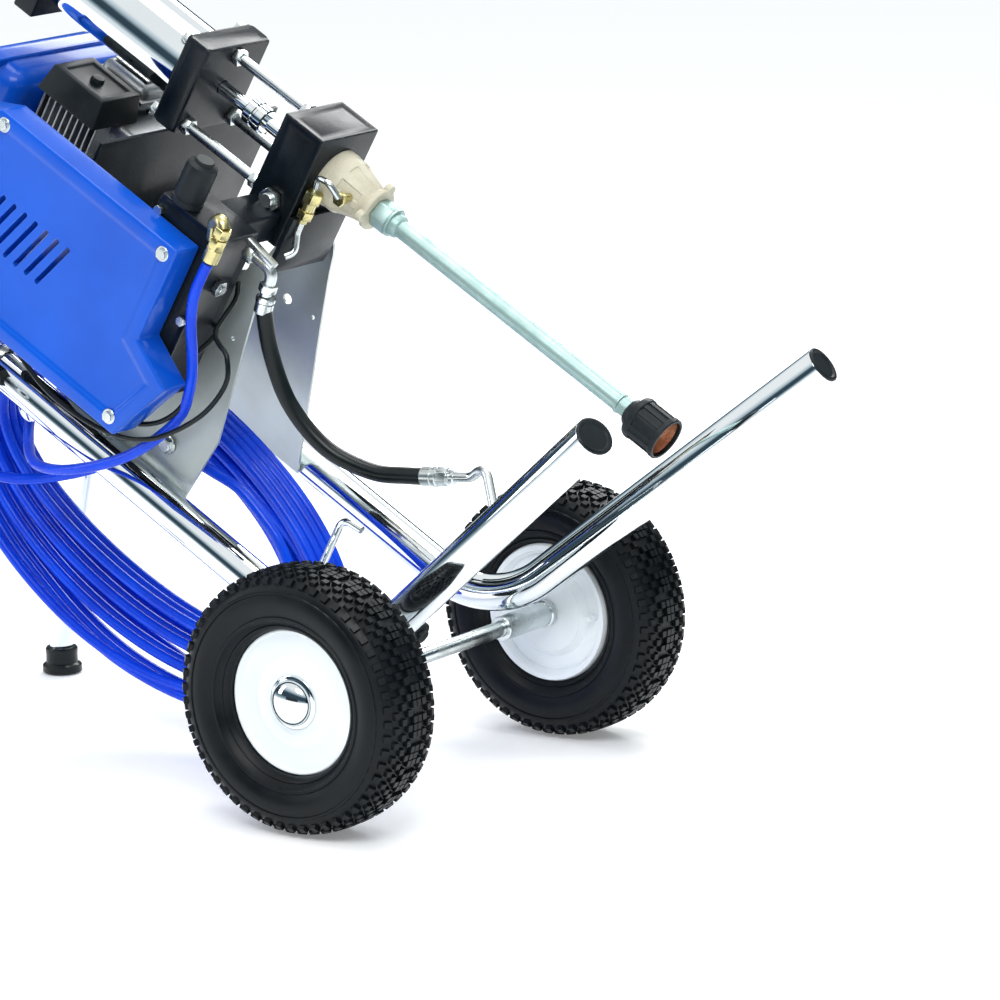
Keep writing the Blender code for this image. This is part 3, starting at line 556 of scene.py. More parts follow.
# %% The rolled lines group: fine streaks along a sheet or a bar
rolled, rolled_in, rolled_out = new_group("rolled_lines", {"Vector": (0.0, 0.0, 0.0), "Scale": 220.0},
                                          ("Lines", "Waves"))
rolled.links.new(noise_node(rolled, rolled_in.outputs["Vector"], rolled_in.outputs["Scale"], 2.0),
                 rolled_out.inputs["Lines"])
rolled.links.new(noise_node(rolled, rolled_in.outputs["Vector"], 9.0, 2.0), rolled_out.inputs["Waves"])
print("rolled_lines gives", [s.name for s in rolled_out.inputs if s.name])


# %% A finish is one Principled shader fed by those groups
def finish(name, colour, roughness, metallic=0.0, drift=None, swing=0.06, patches=14.0, pebble=(900.0, 0.0),
           worn=None, lines=None, coat=0.0):
    """drift is the colour that the patches go towards, pebble is (scale, depth in metres), worn is (colour,
    radius, reach), and lines is (stretch, depth, wave depth) for rolled or brushed metal."""
    material = bpy.data.materials.new(name)
    material.use_nodes = True
    tree = material.node_tree
    shader = tree.nodes["Principled BSDF"]
    place = tree.nodes.new("ShaderNodeTexCoord").outputs["Object"]
    skin = tree.nodes.new("ShaderNodeGroup")
    skin.node_tree = grain
    skin.inputs["Patch Scale"].default_value = patches
    skin.inputs["Pebble Scale"].default_value = pebble[0]
    tree.links.new(place, skin.inputs["Vector"])

    blend = tree.nodes.new("ShaderNodeMix")
    blend.data_type = "RGBA"
    blend.inputs["A"].default_value = (*colour, 1)
    blend.inputs["B"].default_value = (*(drift or [c * 0.82 for c in colour]), 1)
    tree.links.new(skin.outputs["Patch"], blend.inputs["Factor"])
    paint = blend.outputs["Result"]
    dull = spread(tree, skin.outputs["Patch"], 0.0, 1.0, max(0.02, roughness - swing), roughness + swing)
    height = sums(tree, "MULTIPLY", skin.outputs["Pebble"], pebble[1])
    if lines:
        turned = tree.nodes.new("ShaderNodeMapping")
        turned.inputs["Rotation"].default_value = (0, math.pi / 2 - RAIL_SLOPE, 0)
        turned.inputs["Scale"].default_value = lines[0]
        tree.links.new(place, turned.inputs["Vector"])
        streaks = tree.nodes.new("ShaderNodeGroup")
        streaks.node_tree = rolled
        tree.links.new(turned.outputs["Vector"], streaks.inputs["Vector"])
        height = sums(tree, "ADD", height, sums(tree, "MULTIPLY", streaks.outputs["Lines"], lines[1]))
        height = sums(tree, "ADD", height, sums(tree, "MULTIPLY", streaks.outputs["Waves"], lines[2]))
    if worn:
        rub = tree.nodes.new("ShaderNodeGroup")
        rub.node_tree = wear
        rub.inputs["Radius"].default_value = worn[1]
        rub.inputs["Reach"].default_value = worn[2]
        tree.links.new(place, rub.inputs["Vector"])
        over = tree.nodes.new("ShaderNodeMix")
        over.data_type = "RGBA"
        over.inputs["B"].default_value = (*worn[0], 1)
        tree.links.new(rub.outputs["Mask"], over.inputs["Factor"])
        tree.links.new(paint, over.inputs["A"])
        paint = over.outputs["Result"]
    tree.links.new(paint, shader.inputs["Base Color"])
    tree.links.new(dull, shader.inputs["Roughness"])
    shader.inputs["Metallic"].default_value = metallic
    shader.inputs["Specular IOR Level"].default_value = 0.5 if metallic else 0.2
    shader.inputs["Coat Weight"].default_value = coat
    shader.inputs["Coat Roughness"].default_value = 0.08
    bump = tree.nodes.new("ShaderNodeBump")
    bump.inputs["Distance"].default_value = 1.0
    bump.inputs["Strength"].default_value = 1.0
    tree.links.new(height, bump.inputs["Height"])
    tree.links.new(bump.outputs["Normal"], shader.inputs["Normal"])
    return material


# %% The finishes themselves, with the colours in linear values
CHROME = finish("chrome_plate", (0.80, 0.85, 0.87), 0.055, 1.0, (0.74, 0.80, 0.83), 0.02, 8.0,
                (60.0, 0.00004))
PLATED = finish("zinc_plate", (0.66, 0.70, 0.71), 0.26, 1.0, (0.56, 0.61, 0.60), 0.07, 40.0,
                (1400.0, 0.00002))
GALVANISED = finish("galvanised_pipe", (0.38, 0.52, 0.50), 0.44, 0.7, (0.30, 0.44, 0.42), 0.06, 60.0,
                    (1400.0, 0.00002))
SHEET = finish("satin_sheet_steel", (0.62, 0.68, 0.67), 0.36, 0.62, (0.50, 0.55, 0.51), 0.06, 9.0,
               (1500.0, 0.000004), lines=((3.0, 3.0, 0.12), 0.000006, 0.0004))
ENAMEL = finish("white_wheel_enamel", (0.86, 0.90, 0.92), 0.30, 0.0, (0.78, 0.84, 0.87), 0.05, 9.0,
                (700.0, 0.00003), ((0.30, 0.32, 0.33), 0.0012, 0.35), coat=0.3)
TYRE = finish("tyre_rubber", (0.0018, 0.0032, 0.0046), 0.42, 0.0, (0.0045, 0.0070, 0.0090), 0.10, 16.0,
              (1300.0, 0.00006))
BLACK_CAST = finish("black_cast_paint", (0.0022, 0.0042, 0.0062), 0.36, 0.0, (0.0060, 0.0110, 0.0160), 0.08,
                    22.0, (520.0, 0.00022), ((0.22, 0.25, 0.27), 0.0012, 0.5), coat=0.08)
BLACK_MOULDED = finish("black_moulded_plastic", (0.0028, 0.0062, 0.0078), 0.42, 0.0, (0.011, 0.016, 0.019),
                       0.07, 20.0, (1500.0, 0.00006), ((0.05, 0.06, 0.065), 0.0008, 0.4))
BLUE_PAINT = finish("blue_gloss_enamel", (0.003, 0.090, 0.58), 0.22, 0.0, (0.002, 0.068, 0.47), 0.05, 8.0,
                    (420.0, 0.00004), ((0.35, 0.42, 0.50), 0.0010, 0.35), coat=0.2)
BLUE_HOSE = finish("blue_hose_cover", (0.002, 0.070, 0.78), 0.26, 0.0, (0.001, 0.040, 0.60), 0.07, 18.0,
                   (900.0, 0.00005), coat=0.12)
TAN_CAST = finish("tan_cast_paint", (0.60, 0.57, 0.45), 0.42, 0.0, (0.50, 0.47, 0.36), 0.08, 30.0,
                  (380.0, 0.00045), ((0.70, 0.72, 0.70), 0.0010, 0.5), coat=0.1)
BRASS = finish("machined_brass", (0.66, 0.58, 0.27), 0.24, 1.0, (0.55, 0.50, 0.26), 0.08, 60.0,
               (1200.0, 0.00002))
ENGINE_CAST = finish("die_cast_alloy", (0.50, 0.52, 0.53), 0.38, 1.0, (0.40, 0.42, 0.43), 0.08, 30.0,
                     (600.0, 0.00025), ((0.75, 0.77, 0.78), 0.0010, 0.4))
BLACK_RUBBER = finish("black_rubber", (0.0022, 0.0052, 0.0058), 0.34, 0.0, (0.0045, 0.0085, 0.0095), 0.08,
                      20.0, (1100.0, 0.00006), coat=0.15)
FOAM = finish("grip_foam", (0.012, 0.015, 0.016), 0.80, 0.0, (0.020, 0.024, 0.025), 0.06, 30.0,
              (700.0, 0.0006))
COPPER_MESH = finish("copper_gauze", (0.62, 0.30, 0.17), 0.34, 1.0, (0.36, 0.17, 0.10), 0.08, 70.0,
                     (1400.0, 0.00050))
FINISH_OF = {"chrome": CHROME, "steel": PLATED, "zinc": SHEET, "white": ENAMEL, "tyre": TYRE,
             "black": BLACK_CAST, "plastic": BLACK_MOULDED, "blue": BLUE_PAINT, "hose": BLUE_HOSE,
             "tan": TAN_CAST, "brass": BRASS, "engine": ENGINE_CAST, "rubber": BLACK_RUBBER}
for part in frame["record"]["subparts"]:
    carried = frame["nodes"][part["node"]]
    carried.data.materials.clear()
    carried.data.materials.append(FINISH_OF[part["material_slot"]])
print(len(FINISH_OF), "slots have a finish")



# %% Bolts, nuts and screws are all zinc plated
def hardware(name, *parts, replaces=()):
    """Small steel parts of the cart as one piece."""
    return settle(fused(name, *parts), CART, "cart", PLATED, replaces)


# %% [markdown]
# ## The spray hose
# The blue hose leaves the brass swivel, runs back past the near rail, is wound in long oval turns between
# the rails, and comes out again to the gun. It is one length of hose, so it is one spline. A hose keeps the
# same diameter and can't pass through itself: each turn of the coil is shifted by a diameter, outwards and
# to the side, in a pattern of columns, and only the two ends are listed point by point.

# %% The hose's ends
HOSE_RADIUS = 0.0055
LEAD_ROUTE = ((0.277, -0.175, 0.2965), (0.260, -0.1755, 0.2965), (0.238, -0.1745, 0.2955),
              (0.210, -0.1705, 0.2880), (0.181, -0.1645, 0.2760), (0.148, -0.1580, 0.2670),
              (0.105, -0.1530, 0.2680), (0.040, -0.154, 0.300), (-0.015, -0.156, 0.352),
              (-0.045, -0.142, 0.400), (-0.048, -0.108, 0.440), (-0.036, -0.066, 0.478),
              (-0.014, -0.0315, 0.508))
TAIL_ROUTE = ((-0.034, -0.0315, 0.128), (-0.020, -0.050, 0.126), (0.003, -0.060, 0.140),
              (0.018, -0.061, 0.162), (0.028, -0.062, 0.190), (0.035, -0.063, 0.222), (0.033, -0.066, 0.252),
              (0.028, -0.068, 0.282), (0.008, -0.070, 0.320), (-0.032, -0.072, 0.360),
              (-0.074, -0.080, 0.400), (-0.096, -0.108, 0.432), (-0.100, -0.140, 0.465),
              (-0.104, -0.162, 0.510), (-0.112, -0.170, 0.555), (-0.113, -0.167, 0.588),
              (-0.112, -0.166, 0.604))

# %% The coil between them
COIL_HALF_LENGTH = 0.235
COIL_HALF_HEIGHT = 0.118
COIL_FORWARD, COIL_UP = -0.088, 0.337
COLUMNS = 3
LAYERS = 4
TURNS = 12.69
TURN_POINTS = 30
PITCH = 2 * HOSE_RADIUS + 0.0009
SHIFT = 0.1            # the part of a turn in which the hose moves to its next place
COIL_START = 0.71
SLACK = 1.15


def coil_cell(index):
    """The layer and the column of a turn. Columns fill to one side, and the next layer fills back."""
    if index >= COLUMNS * LAYERS:
        return LAYERS - 1, -1
    layer, column = divmod(index, COLUMNS)
    return layer, COLUMNS - 1 - column if layer % 2 else column


def coil_point(turn):
    """A point of the winding after so many turns. Each layer moves on a little before the one inside it."""
    index = int(turn)
    part = turn - index
    layer_a, column_a = coil_cell(index)
    layer_b, column_b = coil_cell(index + 1)
    order = 2 * layer_a + (1 if layer_b != layer_a else 0)
    moved = min(1.0, max(0.0, (part - (0.9 - SHIFT * order)) / SHIFT))
    moved = moved * moved * (3 - 2 * moved)
    layer = layer_a + (layer_b - layer_a) * moved
    column = column_a + (column_b - column_a) * moved
    if index == COLUMNS * LAYERS:
        inward = min(1.0, max(0.0, (part - 0.35) / 0.3))
        layer -= 1.5 * inward * inward * (3 - 2 * inward)
    angle = COIL_START - math.tau * part
    slack = 0.5 - 0.5 * math.sin(angle)
    out = (layer - (LAYERS - 1) / 2) * PITCH * (1 + SLACK * slack)
    side = (column - (COLUMNS - 1) / 2) * PITCH + 0.0012 * math.sin(3 * angle)
    return Vector((COIL_FORWARD + (COIL_HALF_HEIGHT + out) * math.sin(angle), side,
                   COIL_UP + (COIL_HALF_LENGTH + out) * math.cos(angle)))


# %% A cord is one curve with a round bevel
def cord(name, line, radius, resolution, finish):
    """A curve object along these points, which stays a curve so that its length can be measured."""
    curve = bpy.data.curves.new(name, "CURVE")
    curve.dimensions = "3D"
    curve.bevel_depth = radius
    curve.bevel_resolution = resolution
    curve.use_fill_caps = True
    spline = curve.splines.new("POLY")
    spline.points.add(len(line) - 1)
    for point, at in zip(spline.points, line):
        point.co = (*at, 1)
    spline.use_smooth = True
    obj = bpy.data.objects.new(name, curve)
    bpy.context.scene.collection.objects.link(obj)
    curve.materials.append(finish)
    return obj


def length_of(line):
    return sum((b - a).length for a, b in zip(line, line[1:]))


# %% One hose from end to end
first, last = 0.06, TURNS - 0.04
count = round((last - first) * TURN_POINTS)
winding = [coil_point(first + (last - first) * i / count) for i in range(count + 1)]
hose_line = smooth_line([*LEAD_ROUTE, *winding, *TAIL_ROUTE[1:]], 0.011)
hose_line = [CART @ p for p in hose_line]
spray_hose = cord("spray_hose", hose_line, HOSE_RADIUS, 4, BLUE_HOSE)
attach(spray_hose, "cart")
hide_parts("hose_lead", "hose_coil", "hose_tail")

# %% [markdown]
# ## Wheels
# Each wheel is a pressed white disc in a black tyre with a chromed dome over the end of the axle. All of it
# is round, so it is turned: a profile is spun about the axle. The tread is cut from the tyre's own faces:
# bands of them are inset one by one and pushed outwards, every second row half a block further round.

# %% Wheel sizes
TYRE_RADIUS = AXLE.z
TRACK = 0.431
TYRE_WIDTH = 0.084
RIM_RADIUS = 0.0705
RIM_OUT = 0.021
RIM_IN = 0.032
TREAD_DEPTH = 0.0042
TREAD_STEPS = 108


def wheel_place(side):
    """The wheel's own axes: Z points outwards along the axle."""
    turn = Matrix.Rotation(-side * math.pi / 2, 4, "X")
    return Matrix.Translation((AXLE.x, side * TRACK / 2, TYRE_RADIUS)) @ turn


# %% Tyre
def tyre(side, name):
    h = TYRE_WIDTH / 2
    r = TYRE_RADIUS - TREAD_DEPTH
    seat = RIM_RADIUS + 0.0004
    half = [(r, 0.0), (r, 0.0065), (r, 0.0075), (r - 0.0003, 0.0145), (r - 0.0004, 0.0155),
            (r - 0.0012, 0.0225), (r - 0.0015, 0.0235), (r - 0.0034, 0.0300), (r - 0.0040, 0.0310),
            (r - 0.0095, 0.0368), (r - 0.0125, 0.0385), (r - 0.0150, 0.0394), (r - 0.0156, 0.0408),
            (r - 0.0176, 0.0412), (r - 0.0182, 0.0402), (r - 0.0230, h - 0.0002), (r - 0.0300, h - 0.0005),
            (r - 0.0350, h - 0.0022), (seat + 0.0150, h - 0.0040), (seat + 0.0142, h - 0.0030),
            (seat + 0.0118, h - 0.0034), (seat + 0.0108, h - 0.0058), (seat + 0.0060, h - 0.0100),
            (seat + 0.0048, h - 0.0092), (seat + 0.0022, h - 0.0110), (seat, h - 0.0150)]
    profile = [(a, -b) for a, b in half[:0:-1]] + half
    profile = profile + [profile[0]]
    obj = spun("tyre_" + name + "_moulded", profile, steps=TREAD_STEPS)
    rows = ((0.0110, 1), (0.0190, 0), (0.0268, 1), (0.0340, 0))

    def on_row(centre, normal):
        out = math.hypot(centre.x, centre.y)
        if out < r - 0.0100 or normal.x * centre.x + normal.y * centre.y <= 0:
            return False
        part = round((math.atan2(centre.y, centre.x) / math.tau) * TREAD_STEPS - 0.5) % TREAD_STEPS
        for at, odd in rows:
            if abs(abs(centre.z) - at) < 0.0032:
                return (part + odd + (centre.z > 0)) % 2 == 0
        return abs(centre.z) < 0.0065 and part % 4 != 0

    edit(obj, on_row)
    bpy.ops.mesh.inset(thickness=0.0006, depth=0.0, use_individual=True)
    bpy.ops.transform.shrink_fatten(value=TREAD_DEPTH - 0.0004)
    done()
    return settle(obj, wheel_place(side), "wheel_" + name, TYRE, ["tyre_" + name], 28)


# %% Disc
def disc(side, name):
    profile = [(0.0084, -RIM_IN), (0.0400, -RIM_IN), (0.0460, -0.024), (0.0600, -0.024), (0.0640, -RIM_IN),
               (0.0690, -RIM_IN - 0.001), (0.0705, -0.030), (0.0705, 0.0205), (0.0700, 0.0222),
               (0.0688, 0.0226), (0.0675, 0.0218), (0.0664, 0.0196), (0.0650, 0.0180), (0.0620, 0.0172),
               (0.0480, 0.0176), (0.0460, 0.0184), (0.0440, 0.0186), (0.0340, 0.0190), (0.0320, 0.0196),
               (0.0305, 0.0206), (0.0290, 0.0210), (0.0084, 0.0210), (0.0084, -RIM_IN)]
    obj = spun("wheel_disc_" + name, profile, steps=96)
    stem = spun("valve_" + name, [(0, 0), (0.0034, 0), (0.0034, 0.006), (0.0026, 0.007), (0.0026, 0.012),
                                  (0.0019, 0.0128), (0, 0.013)], (0.053, 0, -0.0238), "-Z", steps=20)
    return settle(fused("wheel_disc_" + name, obj, stem), wheel_place(side), "wheel_" + name, ENAMEL,
                  ["rim_" + name], 30)


# %% Hub cap: a chromed dome on a rolled flange
def hub_cap(side, name):
    profile = [(0, 0.0004), (0.0255, 0.0004), (0.0262, 0.0010), (0.0262, 0.0022), (0.0254, 0.0029),
               (0.0240, 0.0030), (0.0232, 0.0034)]
    dome = [(0.0226 * math.cos(t), 0.0036 + 0.0118 * math.sin(t)) for t in
            [i * math.pi / 2 / 14 for i in range(15)]]
    obj = spun("hub_dome_" + name, profile + dome, (0, 0, RIM_OUT), steps=72)
    return settle(obj, wheel_place(side), "wheel_" + name, CHROME, ["hub_cap_" + name], 40)


for side, name in ((1, "left"), (-1, "right")):
    for piece in (tyre(side, name), disc(side, name), hub_cap(side, name)):
        print(piece.name, "has", len(piece.data.polygons), "faces")

# %% [markdown]
# ## Frame
# Two 38 mm chromed tubes come down the back, bend at the axle and splay out to the front. They are swept
# along their centre lines. Their lower ends are closed by black plugs, and their upper ends are open, for
# the handle slides in them, so those have a wall. The axle runs in a sleeve under each bend.

# %% Frame sizes
TUBE_RADIUS = 0.019
TUBE_WALL = 0.003
BEND_RADIUS = 0.10
RAIL_HALF = 0.118
RAIL_LENGTH = 0.62
LEG_LENGTH = 0.440
LEG_DROP = math.radians(21.1)
LEG_SPLAY = math.radians(10.3)
CROSS_RADIUS = 0.0125
CROSS_BACK = 0.020
CROSS_HEIGHTS = (0.452, 0.585)
HANDLE_ROOM = 0.0165     # the radius inside each rail that the handle needs


def leg_direction(side):
    return Vector((math.cos(LEG_DROP) * math.cos(LEG_SPLAY), side * math.sin(LEG_SPLAY),
                   -math.sin(LEG_DROP) * math.cos(LEG_SPLAY)))


# %% The bent tubes
def frame_tube(side, name):
    bend = Vector((0, side * RAIL_HALF, 0))
    tip = bend + leg_direction(side) * LEG_LENGTH
    line = rounded([tip, bend, (0, side * RAIL_HALF, RAIL_LENGTH)], BEND_RADIUS, 28)
    obj = swept("bent_tube_" + name, line, TUBE_RADIUS, 10, False)
    applied(obj, "SOLIDIFY", thickness=TUBE_WALL, offset=-1)
    eased(obj, 0.0006, 2, 50)
    return settle(obj, CART, "cart", CHROME, ["frame_tube_" + name], 35, False)


def leg_plug(side, name):
    """The black plug in the end of a leg, with a dished face and a rim over the tube's edge."""
    r = TUBE_RADIUS
    profile = [(0, -0.006), (r - TUBE_WALL - 0.0005, -0.006), (r - TUBE_WALL - 0.0005, 0.0002),
               (r - 0.0004, 0.0002), (r, 0.0008), (r, 0.0018), (r - 0.0007, 0.0026), (r - 0.0020, 0.0030),
               (r - 0.0036, 0.0026), (r - 0.0044, 0.0014), (r - 0.0052, 0.0008), (0, 0.0006)]
    tip = Vector((0, side * RAIL_HALF, 0)) + leg_direction(side) * LEG_LENGTH
    obj = spun("leg_plug_" + name, profile, tip, leg_direction(side).to_track_quat("Z", "Y").to_euler(), 64)
    return settle(obj, CART, "cart", BLACK_MOULDED, ["leg_cap_" + name], 32)


def cross_tube(up, name):
    """A tube between the rails, with a round of weld at each end. Its ends stay clear of the handle."""
    r = CROSS_RADIUS
    reach = RAIL_HALF - 0.009
    bead = [(r - 0.001, reach - 0.0068), (r + 0.0008, reach - 0.0062), (r + 0.0024, reach - 0.0040),
            (r + 0.0030, reach - 0.0012), (r + 0.0014, reach)]
    ring = [(0, -reach)] + [(a, -b) for a, b in bead[::-1]] + bead + [(0, reach)]
    obj = spun("cross_bar_" + name, ring, (-CROSS_BACK, 0, up), "Y", 56)
    r = HANDLE_ROOM
    for side in (1, -1):
        sunk(obj, spun("room", [(0, -0.05), (r, -0.05), (r, 0.05), (0, 0.05)], (0, side * RAIL_HALF, up)))
    return settle(obj, CART, "cart", CHROME, ["cross_tube_" + name], 40)


for side, name in ((1, "left"), (-1, "right")):
    print(frame_tube(side, name).name, leg_plug(side, name).name)
for up, name in zip(CROSS_HEIGHTS, ("lower", "upper")):
    print(cross_tube(up, name).name)

# %% The axle and its two sleeves
bar_half = TRACK / 2 + RIM_OUT - 0.003
end = [(0, bar_half), (0.0066, bar_half), (0.0080, bar_half - 0.0014)]
axle_bar = spun("axle_bar", [(a, -b) for a, b in end] + end[::-1], (AXLE.x, 0, AXLE.z), "Y", 48)
settle(axle_bar, FLOOR, "cart", PLATED, ["axle"], 35)
for side, name in ((1, "left"), (-1, "right")):
    outer = TRACK / 2 - RIM_IN - 0.0006
    inner = RAIL_HALF - 0.015
    r = 0.0125
    profile = [(0.0083, inner), (r - 0.0008, inner), (r, inner + 0.0010), (r, outer - 0.0080),
               (r + 0.0016, outer - 0.0070), (r + 0.0016, outer - 0.0008), (r + 0.0008, outer),
               (0.0083, outer), (0.0083, inner)]
    profile = [(a, side * b) for a, b in profile]
    sleeve = spun("axle_spacer_" + name, profile, (AXLE.x, 0, AXLE.z), "Y", 48)
    settle(sleeve, FLOOR, "cart", PLATED, ["axle_sleeve_" + name], 35)
    print("axle spacer", name, round(outer - inner, 3), "metres")

# %% [markdown]
# ## Rear stand and handle
# The stand legs are plain tubes let into moulded rubber feet. The handle is one U of tube that slides in the
# rails: it is swept, and its foam grip is turned with a gathered end. Both keep the CAD sizes, because the
# handle has to run inside the rails at both ends of its travel.

# %% Stand legs with their rubber feet
STAND_UP = 0.545
for side, name in ((1, "left"), (-1, "right")):
    top = CART @ Vector((-TUBE_RADIUS - GAP - 0.004, side * RAIL_HALF, STAND_UP))
    foot = Vector((top.x - 0.105, side * (RAIL_HALF + 0.030), 0.0283))
    low_in = foot + (foot - top).normalized() * 0.006
    obj = swept("stand_tube_" + name, [top, foot.lerp(top, 0.5), low_in], 0.0125, 8)
    settle(obj, FLOOR, "cart", CHROME, ["stand_leg_" + name], 40)
    r = 0.021
    profile = [(0, 0.0), (r - 0.002, 0.0), (r, 0.0016), (r, 0.0082), (r - 0.0012, 0.0098),
               (r - 0.0040, 0.0112), (0.0168, 0.0210), (0.0172, 0.0226), (0.0172, 0.0262), (0.0160, 0.0280),
               (0, 0.0286)]
    pad = spun("rubber_foot_" + name, profile, (foot.x, foot.y, 0), steps=56)
    settle(pad, FLOOR, "cart", BLACK_RUBBER, (), 32)
    collar = [(0.0126, -0.003), (0.0146, -0.003), (0.0152, 0.0), (0.0146, 0.003), (0.0126, 0.003),
              (0.0126, -0.003)]
    way = (foot - top).normalized()
    ring = spun("stand_weld_" + name, collar, top + way * 0.010, way.to_track_quat("Z", "Y").to_euler(), 40)
    settle(ring, FLOOR, "cart", CHROME, (), 40)
    print("stand leg", name, round((top - foot).length, 3), "metres")

# %% Handle and grip
HANDLE_RADIUS = 0.0145
HANDLE_REACH = 0.25
HANDLE_INSIDE = 0.13
line = rounded([(0, RAIL_HALF, RAIL_LENGTH - HANDLE_INSIDE), (0, RAIL_HALF, RAIL_LENGTH + HANDLE_REACH),
                (0, -RAIL_HALF, RAIL_LENGTH + HANDLE_REACH), (0, -RAIL_HALF, RAIL_LENGTH - HANDLE_INSIDE)],
               0.055, 20)
settle(swept("handle_tube", line, HANDLE_RADIUS, 10), CART, "handle", CHROME, ["handle_bar"], 40)
r = 0.0185
half = 0.0575
wall = HANDLE_RADIUS + 0.0004
edge_in = [(wall, half), (r - 0.0020, half), (r - 0.0003, half - 0.0012), (r, half - 0.0032),
           (r, half - 0.0080), (r - 0.0008, half - 0.0090), (r, half - 0.0100)]
profile = [(a, -b) for a, b in edge_in] + edge_in[::-1] + [(wall, -half)]
grip = spun("foam_grip", profile, (0, 0, RAIL_LENGTH + HANDLE_REACH), "Y", 64)
settle(grip, CART, "handle", FOAM, ["handle_grip"], 30)
for side, name in ((1, "left"), (-1, "right")):
    at = Vector((0, side * RAIL_HALF, RAIL_LENGTH))
    mouth = [(HANDLE_RADIUS + 0.0006, 0.0004), (0.0186, 0.0004), (0.0192, 0.0012), (0.0192, 0.0060),
             (0.0180, 0.0084), (HANDLE_RADIUS + 0.0008, 0.0090), (HANDLE_RADIUS + 0.0006, 0.0004)]
    bush = spun("rail_bush_" + name, mouth, at, steps=56)
    settle(bush, CART, "cart", BLACK_MOULDED, (), 32)
print("the handle stands out by", HANDLE_REACH, "metres")

# %% [markdown]
# ## Pump stand
# Two bright steel plates stand on the rails and lean together to carry the pump. Each is cut flat, drilled,
# then folded along a slanting crease, so the front strip turns inwards and stiffens it. The plate is drawn
# flat, cut along the crease with a bisect, and each point is then moved out to the leaning, folded plate.

# %% One plate
PLATE = 0.003
STAND_TOP = 0.258
STAND_TOP_HALF = 0.055
FOLD = math.radians(13)
CREASE = (Vector((0.104, 0.320)), Vector((0.227, 0.314)))
PLATE_OUTLINE = [(-0.006, 0.256), (0.066, 0.2605), (0.160, 0.284), (0.222, 0.2985), (0.242, 0.3015),
                 (0.2500, 0.3045), (0.2560, 0.3095), (0.2578, 0.3145), (0.2560, 0.3210), (0.2500, 0.3300),
                 (0.2300, 0.3500), (0.2140, 0.3640), (0.2040, 0.3700), (0.140, 0.392), (-0.006, 0.430)]
BASE_HALF = RAIL_HALF - TUBE_RADIUS - GAP
LEAN = (BASE_HALF - STAND_TOP_HALF) / STAND_TOP
crease_way = (CREASE[1] - CREASE[0]).normalized()
crease_across = Vector((crease_way.y, -crease_way.x))


def stand_plate(side, name):
    obj = slab("stand_plate_" + name, PLATE_OUTLINE, PLATE)
    for x, y, r in ((0.235, 0.3265, 0.0065), (0.161, 0.336, 0.0055), (0.166, 0.298, 0.0022),
                    (0.060, 0.405, 0.008)):
        sunk(obj, spun("drill", [(0, -0.01), (r, -0.01), (r, 0.02), (0, 0.02)], (x, y, 0), steps=32))
    split(obj, (*CREASE[0], 0), (*crease_across, 0))
    eased(obj, 0.0005, 2, 60)
    for vertex in obj.data.vertices:
        f, u, inset = vertex.co
        strip = max(0.0, (Vector((f, u)) - CREASE[0]).dot(crease_across))
        fold = math.tan(FOLD) * strip * min(1.0, max(0.0, f / 0.06))
        vertex.co = (f, side * (BASE_HALF - LEAN * max(f, 0) - inset - fold), u)
    return settle(obj, CART, "cart", SHEET, ["pump_stand_" + name], 25)


for side, name in ((1, "left"), (-1, "right")):
    print(stand_plate(side, name).name)
    for f, u in ((0.040, 0.300), (0.040, 0.380)):
        y = side * (BASE_HALF - LEAN * f + 0.0022)
        bolt = fused(f"stand_bolt_{name}_{round(u * 1000)}",
                     hexagon("head", 0.013, 0.0055, (f, y + side * 0.003, u), "Y" if side > 0 else "-Y"),
                     spun("washer", [(0, -0.001), (0.0094, -0.001), (0.0100, 0), (0.0094, 0.0008),
                                     (0, 0.0008)], (f, y, u), "Y", 36))
        settle(bolt, CART, "cart", PLATED)

# %% [markdown]
# ## Fluid pump
# A black casting sits on the tops of the plates, with an arm to the manifold at the near side. Three bright
# tie rods hold the hydraulic motor above it, and between them the pump rod goes up and down. Below it hangs
# the tan intake housing. Castings start as boxes whose faces are inset and pushed in or out, then eased.

# %% Pump block
PUMP_FORWARD = 0.341
BLOCK_LOW, BLOCK_HIGH = 0.310, 0.362
BLOCK_BACK, BLOCK_FRONT = 0.262, 0.388
BLOCK_HALF = 0.046
BLOCK_RISE = BLOCK_HIGH - BLOCK_LOW
body = block("pump_casting", (BLOCK_FRONT - BLOCK_BACK, 2 * BLOCK_HALF, BLOCK_RISE),
             ((BLOCK_FRONT + BLOCK_BACK) / 2, 0, (BLOCK_HIGH + BLOCK_LOW) / 2))
pressed(body, lambda c, n: abs(n.y) > 0.9 or n.x > 0.9, (0.009, -0.003), (0.004, 0.0015))
eased(placed(body), 0.0030, 3)
arm = eased(placed(block("arm", (0.032, 0.062, 0.040), (0.280, -0.0745, 0.338))), 0.0035, 3)
ROD_ROOM = 0.0078        # the radius that the pump's rod needs in the parts it runs through
rod_well = spun("well", [(0, -0.046), (ROD_ROOM, -0.046), (ROD_ROOM, 0.01), (0, 0.01)],
                (PUMP_FORWARD, 0, BLOCK_HIGH), steps=40)
sunk(body, rod_well)
gland = spun("gland",
             [(ROD_ROOM, -0.002), (0.0260, -0.002), (0.0260, 0.0010), (0.0248, 0.0024), (0.0180, 0.0030),
              (0.0172, 0.0060), (0.0160, 0.0072), (ROD_ROOM, 0.0072), (ROD_ROOM, -0.002)],
             (PUMP_FORWARD, 0, BLOCK_HIGH), steps=64)
skirt = spun("skirt", [(0, -0.0002), (0.0325, -0.0002), (0.0335, 0.0010), (0.0335, 0.0060), (0, 0.0060)],
             (PUMP_FORWARD, 0, BLOCK_LOW), steps=64)
settle(fused("pump_casting", body, arm, gland, skirt), CART, "cart", BLACK_CAST, ["pump_block"], 35)
print("the pump casting is", round(BLOCK_FRONT - BLOCK_BACK, 3), "metres long")


